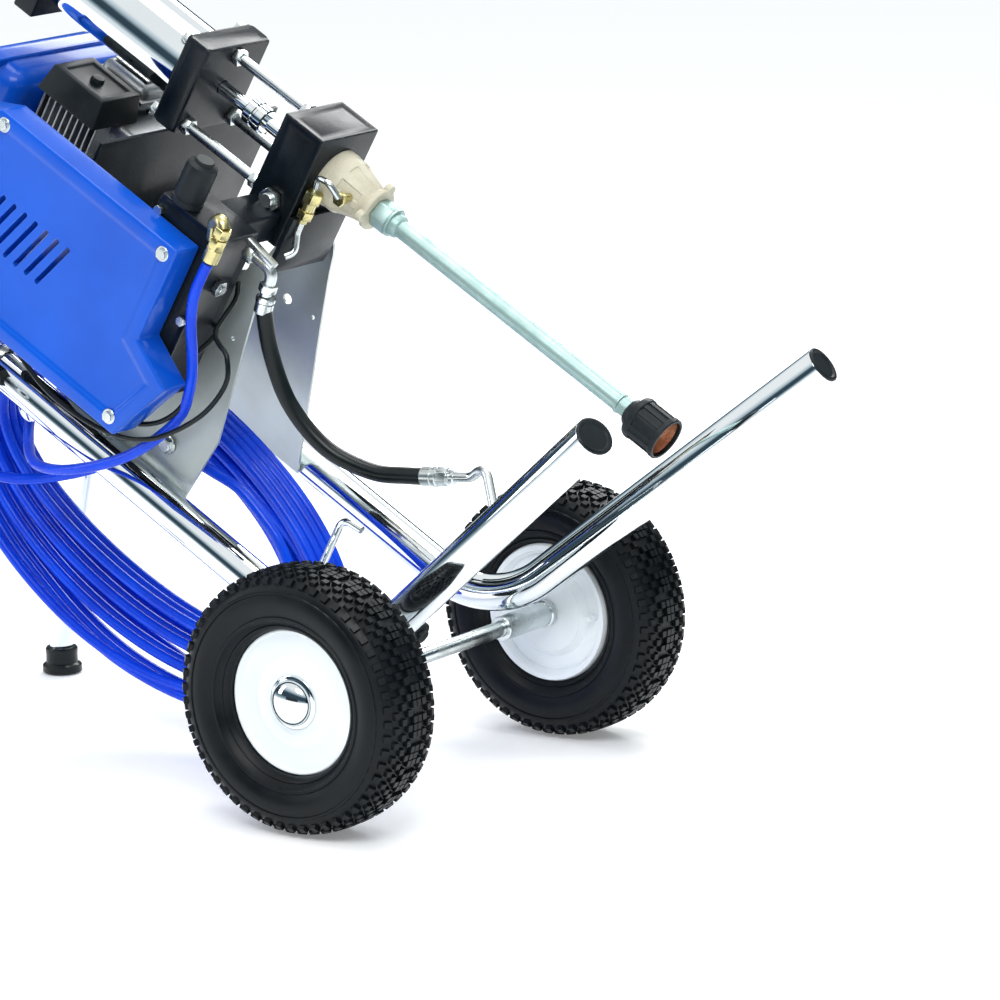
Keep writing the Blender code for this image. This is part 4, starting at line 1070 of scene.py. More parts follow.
# %% Hex plugs and fittings on the casting
def fitting(name, at, along, sizes, finish=PLATED, body="cart"):
    """A row of nuts and collars along one way: sizes are (kind, across or diameter, length)."""
    ways = {"X": Vector((1, 0, 0)), "-X": Vector((-1, 0, 0)), "Y": Vector((0, 1, 0)),
            "-Y": Vector((0, -1, 0)), "Z": Vector((0, 0, 1)), "-Z": Vector((0, 0, -1))}
    way = ways[along] if isinstance(along, str) else Vector(along).normalized()
    turn = way.to_track_quat("Z", "Y").to_euler()
    parts, start = [], Vector(at)
    for kind, wide, length in sizes:
        if kind == "hex":
            parts.append(hexagon("nut", wide, length, start + way * length / 2, turn))
        else:
            r, c = wide / 2, min(wide * 0.06, length * 0.2)
            parts.append(spun("collar",
                              [(0, 0), (r - c, 0), (r, c), (r, length - c), (r - c, length), (0, length)],
                              start, turn, 40))
        start = start + way * length * 0.98
    return settle(fused(name, *parts), CART, body, finish)


fitting("side_plug", (0.302, -0.0455, 0.336), "-Y", (("hex", 0.022, 0.006), ("round", 0.015, 0.004)))
fitting("outlet_brass", (0.333, -0.034, 0.3015), "-X",
        (("hex", 0.017, 0.012), ("round", 0.0135, 0.010), ("hex", 0.0155, 0.009), ("round", 0.010, 0.006)),
        BRASS)
fitting("housing_brass", (0.3450, -0.0400, 0.2720), "Y", (("hex", 0.013, 0.006), ("round", 0.009, 0.012)),
        BRASS)
bleed = rounded([(0.330, -0.034, 0.3015), (0.352, -0.043, 0.3000), (0.3560, -0.0460, 0.286),
                 (0.3465, -0.0400, 0.2720)], 0.008, 8)
settle(swept("bleed_tube", bleed, 0.0034, 6), CART, "cart", PLATED)
link = rounded([(0.298, -0.034, 0.3015), (0.284, -0.034, 0.3010), (0.268, -0.038, 0.292),
                (0.262, -0.046, 0.296)], 0.009, 8)
settle(swept("link_tube", link, 0.0036, 6), CART, "cart", PLATED)
saddle = placed(block("stand_saddle", (0.056, 0.092, 0.006), (0.272, 0, 0.3062)))
edit(saddle, lambda c, n: n.x < -0.9)
bpy.ops.mesh.inset(thickness=0.0012, depth=0.0)
bpy.ops.transform.translate(value=(-0.010, 0, 0))
done()
settle(eased(saddle, 0.0012, 2), CART, "cart", BLACK_CAST)

# %% Tie rods and motor
MOTOR_LOW = 0.465
for number, (x, y) in enumerate(((0.379, 0.0), (0.303, 0.036), (0.303, -0.036))):
    reach = MOTOR_LOW - BLOCK_HIGH
    shank = spun("shank", [(0, 0.0003), (0.0055, 0.0003), (0.0055, reach - 0.0003), (0, reach - 0.0003)],
                 (x, y, BLOCK_HIGH), steps=40)
    nuts = [hexagon("nut", 0.016, 0.008, (x, y, z)) for z in (BLOCK_HIGH + 0.0044, MOTOR_LOW - 0.0044)]
    hardware(f"tie_bar_{number + 1}", shank, *nuts, replaces=[f"tie_rod_{number + 1}"])

length = MOTOR_LOW - BLOCK_HIGH + 0.040
middle = length / 2 - 0.012
stem = [(0, 0), (0.007, 0), (0.007, middle), (0.0126, middle), (0.0140, middle + 0.0014),
        (0.0140, middle + 0.010), (0.0132, middle + 0.0108), (0.0132, middle + 0.0132),
        (0.0140, middle + 0.0140), (0.0140, middle + 0.0226), (0.0126, middle + 0.024),
        (0.007, middle + 0.024), (0.007, length), (0, length)]
stem = spun("pump_stem", stem, (PUMP_FORWARD, 0, BLOCK_HIGH - 0.020), steps=56)
settle(stem, CART, "pump_rod", CHROME, ["displacement_rod"])

base = block("motor_foot", (0.100, 0.100, 0.030), (PUMP_FORWARD, 0, MOTOR_LOW + 0.015))
pressed(base, lambda c, n: abs(n.z) < 0.1, (0.006, -0.0025))
eased(placed(base), 0.003, 3)
sunk(base, spun("bore", [(0, -0.02), (ROD_ROOM, -0.02), (ROD_ROOM, 0.04), (0, 0.04)],
                (PUMP_FORWARD, 0, MOTOR_LOW), steps=40))
bolts = [hexagon("bolt", 0.013, 0.007, (PUMP_FORWARD + a * 0.041, b * 0.041, MOTOR_LOW + 0.0332))
         for a in (-1, 1) for b in (-1, 1)]
settle(base, CART, "cart", BLACK_CAST, ["motor_base"])
hardware("motor_foot_bolts", *bolts)
low = MOTOR_LOW + 0.0303
r = 0.040
barrel = [(0.012, 0), (r - 0.003, 0), (r - 0.0022, 0.0006), (r - 0.0022, 0.0046), (r, 0.0056), (r, 0.1694),
          (r - 0.0022, 0.1704), (r - 0.0022, 0.1744), (r - 0.003, 0.175), (0, 0.175), (0, 0.09),
          (0.012, 0.09), (0.012, 0)]
settle(spun("motor_barrel", barrel, (PUMP_FORWARD, 0, low), steps=88), CART, "cart", CHROME,
       ["motor_cylinder"])
BARREL_LONG = 0.1753
head = block("motor_cap", (0.096, 0.096, 0.026), (PUMP_FORWARD, 0, low + BARREL_LONG + 0.013))
pressed(head, lambda c, n: n.z > 0.9, (0.016, 0.0), (0.003, -0.003), each=False)
eased(placed(head), 0.004, 3)
settle(head, CART, "cart", BLACK_CAST, ["motor_head"])
bolts = [hexagon("bolt", 0.013, 0.0065, (PUMP_FORWARD + a * 0.038, b * 0.038, low + BARREL_LONG + 0.029))
         for a in (-1, 1) for b in (-1, 1)]
hardware("motor_cap_bolts", *bolts)
print("motor and", len(bolts), "bolts at each end")

# %% Intake housing
HOUSING_LOW = 0.248
length = BLOCK_LOW - GAP - HOUSING_LOW
profile = [(0, 0), (0.0150, 0), (0.0215, 0.0004), (0.0225, 0.0014), (0.0225, 0.0052), (0.0216, 0.0064),
           (0.0196, 0.0072), (0.0192, 0.0095), (0.0210, 0.0140), (0.0262, 0.0330), (0.0285, 0.0390),
           (0.0292, 0.0420), (0.0292, 0.0520), (0.0300, 0.0530), (0.0300, length - 0.001), (0.0292, length),
           (0, length)]
housing = spun("intake_casting", profile, (PUMP_FORWARD, 0, HOUSING_LOW), steps=80)


def on_flute(centre, normal):
    part = math.atan2(centre.y, centre.x - PUMP_FORWARD) / math.tau * 8
    side_on = abs(normal.z) < 0.5 and HOUSING_LOW + 0.0145 < centre.z < HOUSING_LOW + 0.040
    return side_on and 0.22 < part % 1 < 0.78


pressed(housing, on_flute, (0.0012, -0.0014), each=False)
lugs = [spun("lug", [(0, 0), (0.0052, 0), (0.0058, 0.0006), (0.0058, 0.0064), (0.0050, 0.0072), (0, 0.0072)],
             (PUMP_FORWARD + 0.0225 * math.cos(a), 0.0225 * math.sin(a), HOUSING_LOW + 0.0002), steps=28)
        for a in (0.35, 0.35 + math.tau / 3, 0.35 + 2 * math.tau / 3)]
settle(fused("intake_casting", housing, *lugs), CART, "cart", TAN_CAST, ["intake_housing"], 30)
print("the intake housing is", round(length, 3), "metres long")

# %% Suction tube and strainer, on the swivelling body
SIPHON_LOW = -0.086
r = 0.0092
length = HOUSING_LOW - SIPHON_LOW - GAP
tube = [(0, 0), (r, 0), (r, 0.010), (r + 0.0012, 0.0108), (r + 0.0012, 0.0128), (r, 0.0136),
        (r, length - 0.030), (r + 0.0020, length - 0.0290), (r + 0.0028, length - 0.0270),
        (r + 0.0028, length - 0.018), (0, length - 0.018)]
tube = spun("suction_pipe", tube, (PUMP_FORWARD, 0, SIPHON_LOW), steps=64)
nut = hexagon("nut", 0.0272, 0.0180, (PUMP_FORWARD, 0, HOUSING_LOW - GAP - 0.0092))
ring = spun("ring", [(0, 0), (0.0142, 0), (0.0150, 0.0008), (0.0150, 0.0026), (0.0142, 0.0034), (0, 0.0034)],
            (PUMP_FORWARD, 0, HOUSING_LOW - GAP - 0.0214), steps=56)
settle(fused("suction_pipe", tube, nut, ring), CART, "siphon", GALVANISED, ["siphon_tube"], 30)
r = 0.0220
n = 0.048
basket = [(0, -0.0003), (r * 0.55, -0.0003), (r * 0.62, -0.002), (r * 0.66, -0.006), (r * 0.94, -0.0085),
          (r, -0.0115), (r, -0.0150), (r * 0.965, -0.0160), (r * 0.965, -0.0225), (r * 0.965, -0.0290),
          (r * 0.965, -0.0355), (r * 0.965, -0.0420), (r, -0.0430), (r, -n + 0.001), (r - 0.0008, -n),
          (r * 0.87, -n), (r * 0.86, -n + 0.001), (r * 0.86, -0.020), (0, -0.018)]
cage = spun("strainer_cage", basket, (PUMP_FORWARD, 0, SIPHON_LOW), steps=60)


def on_window(centre, normal):
    part = math.atan2(centre.y, centre.x - PUMP_FORWARD) / math.tau * 15
    reach = math.hypot(centre.x - PUMP_FORWARD, centre.y)
    return reach > r * 0.95 and SIPHON_LOW - 0.042 < centre.z < SIPHON_LOW - 0.0161 and 0.2 < part % 1 < 0.8


pressed(cage, on_window, (0.0006, -0.0011), each=False)
settle(cage, CART, "siphon", BLACK_MOULDED, ["strainer"], 30)
gauze = [(0, -0.0262), (0.006, -0.0268), (0.0120, -0.0290), (0.0160, -0.0330), (0.0176, -0.0390),
         (0.0184, -0.0440), (0.0184, -0.0400), (0.0172, -0.0330), (0.0140, -0.0280), (0.0080, -0.0245),
         (0, -0.0235)]
gauze = spun("strainer_gauze", gauze, (PUMP_FORWARD, 0, SIPHON_LOW), steps=56)
settle(gauze, CART, "siphon", COPPER_MESH, (), 60)
print("the suction pipe is", round(length, 3), "metres long")

# %% [markdown]
# ## Manifold and hoses
# The manifold is a long black casting beside the near plate. Its faces are recessed, as a die leaves them,
# and it carries a filter bowl, a knob, the brass swivel of the spray hose and the bent drain fitting.

# %% Manifold
MANIFOLD_SIZE = (0.190, 0.058, 0.085)
MANIFOLD_AT = Vector((0.205, -0.135, 0.3395))
body = block("manifold_casting", MANIFOLD_SIZE, MANIFOLD_AT)
for x in (0.02, -0.045):
    split(body, (x, 0, 0), (1, 0, 0))
pressed(body, lambda c, n: abs(n.y) > 0.9 or n.z < -0.9 or n.z > 0.9, (0.0065, -0.0035))
pressed(body, lambda c, n: n.y < -0.9 and abs(c.x) < 0.08, (0.005, 0.0022))
settle(eased(placed(body), 0.0024, 3), CART, "cart", BLACK_CAST, ["fluid_manifold"])
low = MANIFOLD_AT.z - MANIFOLD_SIZE[2] / 2
front = MANIFOLD_AT.x + MANIFOLD_SIZE[0] / 2
outer = MANIFOLD_AT.y - MANIFOLD_SIZE[1] / 2
fitting("manifold_plug_1", (0.262, outer + 0.003, 0.352), "-Y",
        (("hex", 0.017, 0.005), ("round", 0.011, 0.003)))
fitting("manifold_plug_2", (0.185, outer + 0.003, 0.352), "-Y",
        (("hex", 0.014, 0.005), ("round", 0.009, 0.002)))
fitting("manifold_port", (0.240, -0.135, low + 0.003), "-Z", (("hex", 0.015, 0.006), ("round", 0.010, 0.003)))
stays = []
for x in (0.128, 0.156, 0.202, 0.282):
    stays.append(hexagon("cap", 0.0095, 0.005, (x, outer - 0.0005, low + 0.006), "-Y"))
    stays.append(hexagon("cap", 0.0095, 0.005, (x, outer - 0.0005, low + 0.079), "-Y"))
hardware("manifold_screws", *stays)
bowl = [(0, 0.0003), (0.0150, 0.0003), (0.0160, 0.0010), (0.0160, 0.0060), (0.0145, 0.0068),
        (0.0145, 0.0090), (0.0160, 0.0098), (0.0160, 0.0400), (0.0150, 0.0440), (0.0110, 0.0466),
        (0.0100, 0.0470), (0.0100, 0.0494), (0.0090, 0.0503), (0, 0.0503)]
bowl = spun("filter_can", bowl, (front, -0.151, MANIFOLD_AT.z + 0.020), "X", 64)
settle(bowl, CART, "cart", BLACK_MOULDED, ["filter_bowl"], 32)

# %% Pressure knob
knob = [(0, 0.0006), (0.007, 0.0006), (0.007, 0.004), (0.0126, 0.0050), (0.0130, 0.0062), (0.0130, 0.0182),
        (0.0120, 0.0196), (0.0090, 0.0200), (0.0080, 0.0194), (0, 0.0194)]
knob = spun("pressure_dial", knob, (0, 0, 0), steps=72)
pressed(knob, lambda c, n: abs(n.z) < 0.2 and math.hypot(c.x, c.y) > 0.0125
        and every_other(c, 12), (0.0002, -0.0009), each=False)
mark = placed(block("mark", (0.0060, 0.0012, 0.0008), (0.0060, 0, 0.0196)))
knob = fused("pressure_dial", knob, mark)
knob.location = (front + GAP, -0.120, MANIFOLD_AT.z + 0.016)
knob.rotation_euler = (0, math.pi / 2, 0)
settle(knob, CART, "pressure_control", BLACK_MOULDED, ["pressure_knob"], 30)

# %% Brass swivel and its elbow
fitting("swivel_brass", (0.3185, -0.175, 0.296), "-X",
        (("hex", 0.0158, 0.009), ("round", 0.0130, 0.003), ("hex", 0.0158, 0.011), ("round", 0.0168, 0.016)),
        BRASS)
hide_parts("hose_swivel")
elbow = rounded([(0.294, -0.160, 0.312), (0.312, -0.168, 0.312), (0.3240, -0.1735, 0.3035),
                 (0.3165, -0.175, 0.2960)], 0.006, 8)
settle(swept("swivel_elbow", elbow, 0.0068, 7), CART, "cart", BRASS)

# %% Drain fitting, drain hose and drain tube
DRAIN_RADIUS = 0.0082
elbow = rounded([(0.282, -0.117, low - GAP), (0.282, -0.117, low - 0.036), (0.256, -0.117, low - 0.040)],
                0.011, 10)
bend = swept("bend", elbow, 0.0060, 7)
nuts = [hexagon("nut", 0.0170, 0.010, (0.282, -0.117, low - 0.0060)),
        hexagon("nut", 0.0160, 0.008, (0.2640, -0.117, low - 0.0387), (0, math.radians(-98), 0))]
bar = placed(block("bar", (0.0060, 0.0100, 0.050), (0.2920, -0.119, low - 0.012), (0, math.radians(9), 0)))
settle(fused("drain_bend", bend, *nuts, eased(bar, 0.0015, 2)), CART, "cart", PLATED, ["drain_elbow"])
DRAIN_ROUTE = ((0.2550, -0.117, 0.2560), (0.240, -0.115, 0.252), (0.205, -0.110, 0.228),
               (0.170, -0.102, 0.190), (0.152, -0.092, 0.140), (0.158, -0.082, 0.090),
               (0.176, -0.074, 0.056), (0.193, -0.070, 0.030))
line = smooth_line(DRAIN_ROUTE, 0.006)
settle(swept("drain_line", line, DRAIN_RADIUS, 8), CART, "cart", BLACK_RUBBER, ["drain_hose"], 40)
for name, at, after in (("upper", line[0], line[1]), ("lower", line[-1], line[-2])):
    way = (after - at).normalized()
    fitting("drain_ferrule_" + name, at - way * 0.001, way,
            (("round", 0.0196, 0.006), ("round", 0.0186, 0.012)))
way = (line[-1] - line[-2]).normalized()
start = line[-1] + way * GAP
tube = swept("tube",
             rounded([start + way * 0.012, start + way * 0.036, (0.236, -0.070, -0.010),
                      (0.212, -0.088, -0.050)], 0.014, 12), 0.0048, 6)
nut = hexagon("nut", 0.0165, 0.012, start + way * 0.006, way.to_track_quat("Z", "Y").to_euler())
tail = spun("tail", [(0, 0), (0.0062, 0), (0.0066, 0.0006), (0.0066, 0.0060), (0.0056, 0.0070), (0, 0.0070)],
            start + way * 0.0115, way.to_track_quat("Z", "Y").to_euler(), 36)
settle(fused("drain_pipe", tube, nut, tail), CART, "cart", PLATED, ["drain_tube"], 40)
print("the drain hose is", round(length_of(line), 3), "metres long")

# %% Two thin electric leads from the manifold to the engine
LEAD_RADIUS = 0.0026
LEADS = {"pressure_lead": ((0.238, -0.100, 0.300), (0.228, -0.112, 0.288), (0.205, -0.143, 0.276),
                           (0.200, -0.151, 0.258), (0.198, -0.154, 0.247), (0.175, -0.158, 0.233),
                           (0.130, -0.163, 0.242), (0.078, -0.165, 0.279), (0.050, -0.163, 0.330),
                           (0.040, -0.160, 0.400), (0.046, -0.155, 0.450), (0.052, -0.148, 0.4770)),
         "switch_lead": ((0.190, -0.104, 0.300), (0.184, -0.116, 0.290), (0.162, -0.146, 0.286),
                         (0.149, -0.152, 0.271), (0.120, -0.158, 0.268), (0.088, -0.160, 0.289),
                         (0.064, -0.160, 0.335), (0.052, -0.156, 0.400), (0.058, -0.151, 0.450),
                         (0.066, -0.144, 0.4770))}
for name, route in LEADS.items():
    line = [CART @ p for p in smooth_line(route, 0.006)]
    lead = cord(name, line, LEAD_RADIUS, 3, BLACK_RUBBER)
    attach(lead, "cart")
    length = length_of(line)
    print(name, round(length, 3), "metres")

# %% Rack hook
inner = RAIL_HALF - TUBE_RADIUS - 0.001
hook = rounded([(0.0, -inner, 0.112), (0.010, -0.046, 0.112), (0.075, -0.046, 0.114),
                (0.078, -0.046, 0.090)], 0.012, 10)
settle(swept("coil_hook", hook, 0.004, 6), CART, "cart", CHROME, ["rack_hook"], 40)

# %% [markdown]
# ## Engine and hydraulics
# The power unit sits on a black deck behind the pump: a small engine with a cooling fan and a pull starter,
# a blue fuel tank on top, an exhaust box and an air cleaner at the front, and a hydraulic tank and pump
# underneath. A belt in a blue guard takes the power down to the hydraulic pump.

# %% Deck
DECK_HEIGHT = 0.478
DECK_THICK = 0.004
DECK_FRONT, DECK_BACK = 0.286, 0.034
DECK_HALF = 0.140
ENGINE_SIZE = Vector((0.190, 0.165, 0.150))
ENGINE_AT = Vector((0.150, 0.020))
DECK_TOP = DECK_HEIGHT + DECK_THICK
deck = block("deck_tray", (DECK_FRONT - DECK_BACK, 2 * DECK_HALF, DECK_THICK),
             ((DECK_FRONT + DECK_BACK) / 2, 0, DECK_HEIGHT + DECK_THICK / 2))
pressed(deck, lambda c, n: n.z > 0.9, (0.0035, 0.0), (0.0008, -0.0012), each=False)
deck = eased(placed(deck), 0.0010, 2)
heads = [hexagon("bolt", 0.012, 0.006, (x, y, DECK_TOP + 0.003)) for x in (0.048, 0.262)
         for y in (-0.115, 0.122)]
settle(fused("deck_tray", deck), CART, "cart", BLACK_CAST, ["engine_deck"])
hardware("deck_bolts", *heads)

# %% Engine: crankcase, finned cylinder and fan shroud
ex, ey = ENGINE_AT
foot_z = DECK_TOP + GAP
case = eased(placed(block("crankcase", (0.150, 0.150, 0.080), (ex - 0.018, ey, foot_z + 0.0405))), 0.010, 3)
pressed(case, lambda c, n: abs(n.y) > 0.95, (0.012, -0.003))
barrel = placed(block("barrel", (0.080, 0.096, 0.060), (ex + 0.045, ey, foot_z + 0.105)))
fins = [eased(placed(block("fin", (0.094, 0.124, 0.0026), (ex + 0.046, ey, foot_z + 0.070 + 0.0080 * i))),
              0.0008, 1) for i in range(10)]
shroud = block("shroud", (0.120, 0.060, 0.128), (ex - 0.030, ey + 0.0515, foot_z + 0.084))
edit(shroud, lambda c, n: n.z > 0.9)
bpy.ops.transform.resize(value=(0.82, 0.86, 1))
done()
shroud = eased(placed(shroud), 0.012, 4)
cover = eased(placed(block("rocker_cover", (0.020, 0.070, 0.052), (ex + 0.085, ey - 0.005, foot_z + 0.052))),
              0.006, 3)
ridge = eased(placed(block("case_seam", (0.154, 0.006, 0.084), (ex - 0.018, ey - 0.030, foot_z + 0.0425))),
              0.002, 2)
plinth = eased(placed(block("case_feet", (0.186, 0.120, 0.008), (ex - 0.001, ey, foot_z + 0.0042))), 0.002, 2)
settle(fused("engine_casting", case, barrel, *fins, shroud, cover, ridge, plinth), CART, "cart",
       ENGINE_CAST, ["engine_block"], 30)
screws = [hexagon("screw", 0.010, 0.005, (ex + 0.0965, ey - 0.005 + a * 0.026, foot_z + 0.052 + b * 0.018),
                  "X") for a in (-1, 1) for b in (-1, 1)]
screws += [hexagon("screw", 0.010, 0.005, (ex - 0.018 + a * 0.060, ey - 0.0765, foot_z + 0.041 + b * 0.028),
                   "-Y") for a in (-1, 1) for b in (-1, 1)]
hardware("engine_screws", *screws)
boss = spun("shaft_boss",
            [(0.0095, -0.004), (0.030, -0.004), (0.030, 0.0004), (0.022, 0.003), (0.016, 0.003),
             (0.014, 0.0060), (0.0095, 0.0060), (0.0095, -0.004)], (0.165, ey - 0.0760, 0.555), "-Y", 56)
settle(boss, CART, "cart", ENGINE_CAST)
print("the engine has", len(fins), "fins")

# %% Fuel tank: two pressed halves with a rolled seam
tank_at = Vector((ex, ey - 0.004, foot_z + ENGINE_SIZE.z + GAP + 0.035))
tank = block("tank_pressing", (0.194, 0.184, 0.070), tank_at)
edit(tank, lambda c, n: n.z > 0.9)
bpy.ops.mesh.inset(thickness=0.030, depth=0.0)
bpy.ops.transform.translate(value=(0, 0, -0.0035))
done()
tank = eased(placed(tank), 0.020, 5, 60)
seam = eased(placed(block("seam", (0.200, 0.190, 0.0050), tank_at)), 0.0022, 3)
corner = applied(seam, "BEVEL", width=0.020, segments=6, limit_method="ANGLE", angle_limit=math.radians(75))
neck = spun("neck", [(0, -0.004), (0.0262, -0.004), (0.0262, 0.0002), (0, 0.0002)],
            (ex - 0.045, ey - 0.030, tank_at.z + 0.0350), steps=56)
settle(fused("tank_pressing", tank, corner, neck), CART, "cart", BLUE_PAINT, ["fuel_tank"], 30)
cap = [(0, 0.0002), (0.0240, 0.0002), (0.0240, 0.0020), (0.0226, 0.0030), (0.0232, 0.0040), (0.0232, 0.0130),
       (0.0222, 0.0150), (0.0200, 0.0160), (0.0150, 0.0160), (0.0140, 0.0150), (0, 0.0146)]
cap = spun("filler_cap", cap, (0, 0, 0), steps=72)
pressed(cap, lambda c, n: abs(n.z) < 0.3 and 0.0050 < c.z < 0.0125
        and every_other(c, 18), (0.0002, -0.0012), each=False)
cap.location = (ex - 0.045, ey - 0.030, tank_at.z + 0.0350 + GAP)
placed(cap)
settle(cap, CART, "tank_cap", BLACK_MOULDED, ["fuel_cap"], 30)

# %% Recoil starter with its air slots, and the pull grip
side_y = ey + ENGINE_SIZE.y / 2 + GAP
dish = [(0, 0.0002), (0.064, 0.0002), (0.068, 0.0012), (0.068, 0.0150), (0.0665, 0.0180), (0.0625, 0.0200),
        (0.0600, 0.0225), (0.0560, 0.0270), (0.0530, 0.0288), (0.0300, 0.0296), (0.0280, 0.0284),
        (0.0160, 0.0284), (0.0150, 0.0296), (0, 0.0300)]
dish = spun("starter_dish", dish, (0, 0, 0), steps=96)


def on_slot(centre, normal):
    reach = math.hypot(centre.x, centre.y)
    return normal.z > 0.8 and 0.030 < reach < 0.053 and every_other(centre, 16)


pressed(dish, on_slot, (0.0022, -0.0035), each=False)
dish.rotation_euler = (-math.pi / 2, 0, 0)
dish.location = (ex, side_y, foot_z + 0.075)
placed(dish)
ear = eased(placed(block("rope_guide", (0.026, 0.016, 0.020),
                         (ex + 0.060, side_y + 0.011, foot_z + 0.1150))), 0.003, 2)
settle(fused("starter_dish", dish, ear), CART, "cart", BLUE_PAINT, ["recoil_housing"], 28)
grip = block("pull_grip", (0.030, 0.014, 0.014), (ex + 0.083, side_y + 0.011, foot_z + 0.115))
split(placed(grip), (ex + 0.076, 0, 0), (1, 0, 0))
edit(grip, lambda c, n: n.x < -0.9)
bpy.ops.transform.resize(value=(1, 0.55, 0.55))
done()
settle(eased(grip, 0.003, 3), CART, "starter_pull", BLACK_MOULDED, ["starter_grip"], 35)

# %% Exhaust box with a pierced guard, and the air cleaner
front_x = ex + ENGINE_SIZE.x / 2 + GAP
box_at = Vector((front_x + 0.0165, ey + 0.035, foot_z + 0.100))
box = eased(placed(block("exhaust_box", (0.0325, 0.084, 0.064), box_at)), 0.011, 4)
seam = eased(placed(block("seam", (0.004, 0.090, 0.070), box_at)), 0.0012, 2)
spout = swept("spout", rounded([box_at + Vector((0, 0.030, 0.0)), box_at + Vector((0, 0.040, 0.026)),
                                box_at + Vector((0, 0.040, 0.0345))], 0.008, 8), 0.0062, 6)
guard = block("guard", (0.0020, 0.066, 0.046), box_at + Vector((0.0183, 0, 0)))
edit(guard)
bpy.ops.mesh.subdivide(number_cuts=5)
done()
pressed(guard, lambda c, n: n.x > 0.9, (0.0018, -0.0009))
settle(fused("exhaust_box", box, seam, spout, placed(guard)), CART, "cart", ENGINE_CAST,
       ["muffler"], 30)
air_at = Vector((front_x + 0.015, ey - 0.048, foot_z + 0.100))
air = block("air_box", (0.030, 0.070, 0.080), air_at)
split(air, (-0.003, 0, 0), (1, 0, 0))
edit(air, lambda c, n: n.x > 0.9)
bpy.ops.transform.resize(value=(1, 0.86, 0.86))
bpy.ops.mesh.inset(thickness=0.008, depth=0.0)
bpy.ops.mesh.inset(thickness=0.002, depth=-0.0018)
done()
air = eased(placed(air), 0.005, 4)
wing = spun("wing_nut", [(0, 0), (0.0070, 0), (0.0074, 0.0008), (0.0062, 0.0046), (0, 0.0050)],
            air_at + Vector((0.0130, 0, 0)), "X", 32)
settle(fused("air_box", air, wing), CART, "cart", BLACK_MOULDED, ["air_cleaner"], 32)

# %% Hydraulic tank and pump under the deck
tank_at = Vector((0.118, 0.030, DECK_HEIGHT - GAP - 0.028))
tank = block("oil_tank", (0.130, 0.150, 0.056), tank_at)
pressed(tank, lambda c, n: abs(n.z) < 0.1, (0.009, -0.0020))
tank = eased(placed(tank), 0.006, 4)
plug = spun("oil_plug",
            [(0, 0), (0.0130, 0), (0.0136, 0.0010), (0.0136, 0.0040), (0.0090, 0.0050), (0, 0.0050)],
            tank_at + Vector((0.0600, 0.030, 0.004)), "X", 40)
settle(fused("oil_tank", tank, plug), CART, "cart", BLACK_CAST, ["hydraulic_tank"], 32)
BELT_FORWARD, PULLEY_LOW, PULLEY_HIGH = 0.165, 0.432, 0.555
r = 0.036
pump = [(0, 0.0), (r - 0.003, 0.0), (r, 0.003), (r, 0.010), (r - 0.005, 0.012), (r - 0.005, 0.030),
        (r - 0.001, 0.032), (r - 0.001, 0.038), (r - 0.005, 0.040), (r - 0.005, 0.066), (r, 0.069),
        (r, 0.081), (r - 0.004, 0.085), (0.016, 0.085), (0, 0.085)]
pump = spun("oil_pump", pump, (BELT_FORWARD, -0.1485, PULLEY_LOW), "Y", 72)
ports = [hexagon("port", 0.018, 0.010, (BELT_FORWARD - r + 0.001, -0.120 + 0.026 * i, PULLEY_LOW), "-X")
         for i in (0, 1)]
settle(fused("oil_pump", pump, *ports), CART, "cart", BLACK_CAST, ["hydraulic_pump"], 32)
print("hydraulics are under the deck at", DECK_HEIGHT)


# %% Pulleys, each on its own turning body
PULLEY_OUT = 0.1735      # the inner face of both pulleys


def pulley(name, body, radius, up, shaft, reach, node):
    """A cast pulley with a V groove, lightening holes and a hub."""
    w = 0.011
    profile = [(0, -reach), (shaft - 0.0006, -reach), (shaft, -reach + 0.0006), (shaft, 0.0),
               (radius - 0.0006, 0.0), (radius, 0.0008), (radius, 0.0016), (radius - 0.0040, 0.0042),
               (radius - 0.0040, w - 0.0042), (radius, w - 0.0016), (radius, w - 0.0008),
               (radius - 0.0006, w), (radius * 0.82, w), (radius * 0.80, w - 0.003),
               (shaft + 0.004, w - 0.003), (shaft + 0.003, w), (shaft + 0.002, w + 0.004), (0, w + 0.004)]
    obj = spun(name, profile, (BELT_FORWARD, -PULLEY_OUT, up), "-Y", 64)
    for i in range(5):
        a = i * math.tau / 5 + 0.3
        at = (BELT_FORWARD + radius * 0.60 * math.cos(a), -PULLEY_OUT - w - 0.002,
              up + radius * 0.60 * math.sin(a))
        sunk(obj, spun("hole", [(0, 0), (radius * 0.12, 0), (radius * 0.12, 0.009), (0, 0.009)], at, "Y", 24))
    return settle(obj, CART, body, ENGINE_CAST, [node], 30)


pulley("engine_wheel", "engine_pulley_set", 0.030, PULLEY_HIGH, 0.009, 0.110, "engine_pulley")
pulley("pump_wheel", "pump_pulley_set", 0.052, PULLEY_LOW, 0.008, 0.0175, "pump_pulley")

# %% [markdown]
# ## Belt guard
# A deep-drawn blue cover, open towards the engine. It starts as its side outline, extruded to its depth. The
# open face is deleted, the outer corners are rounded, and a Solidify modifier gives the sheet its thickness.
# A raised panel and a row of slots stiffen the face and let the heat out.

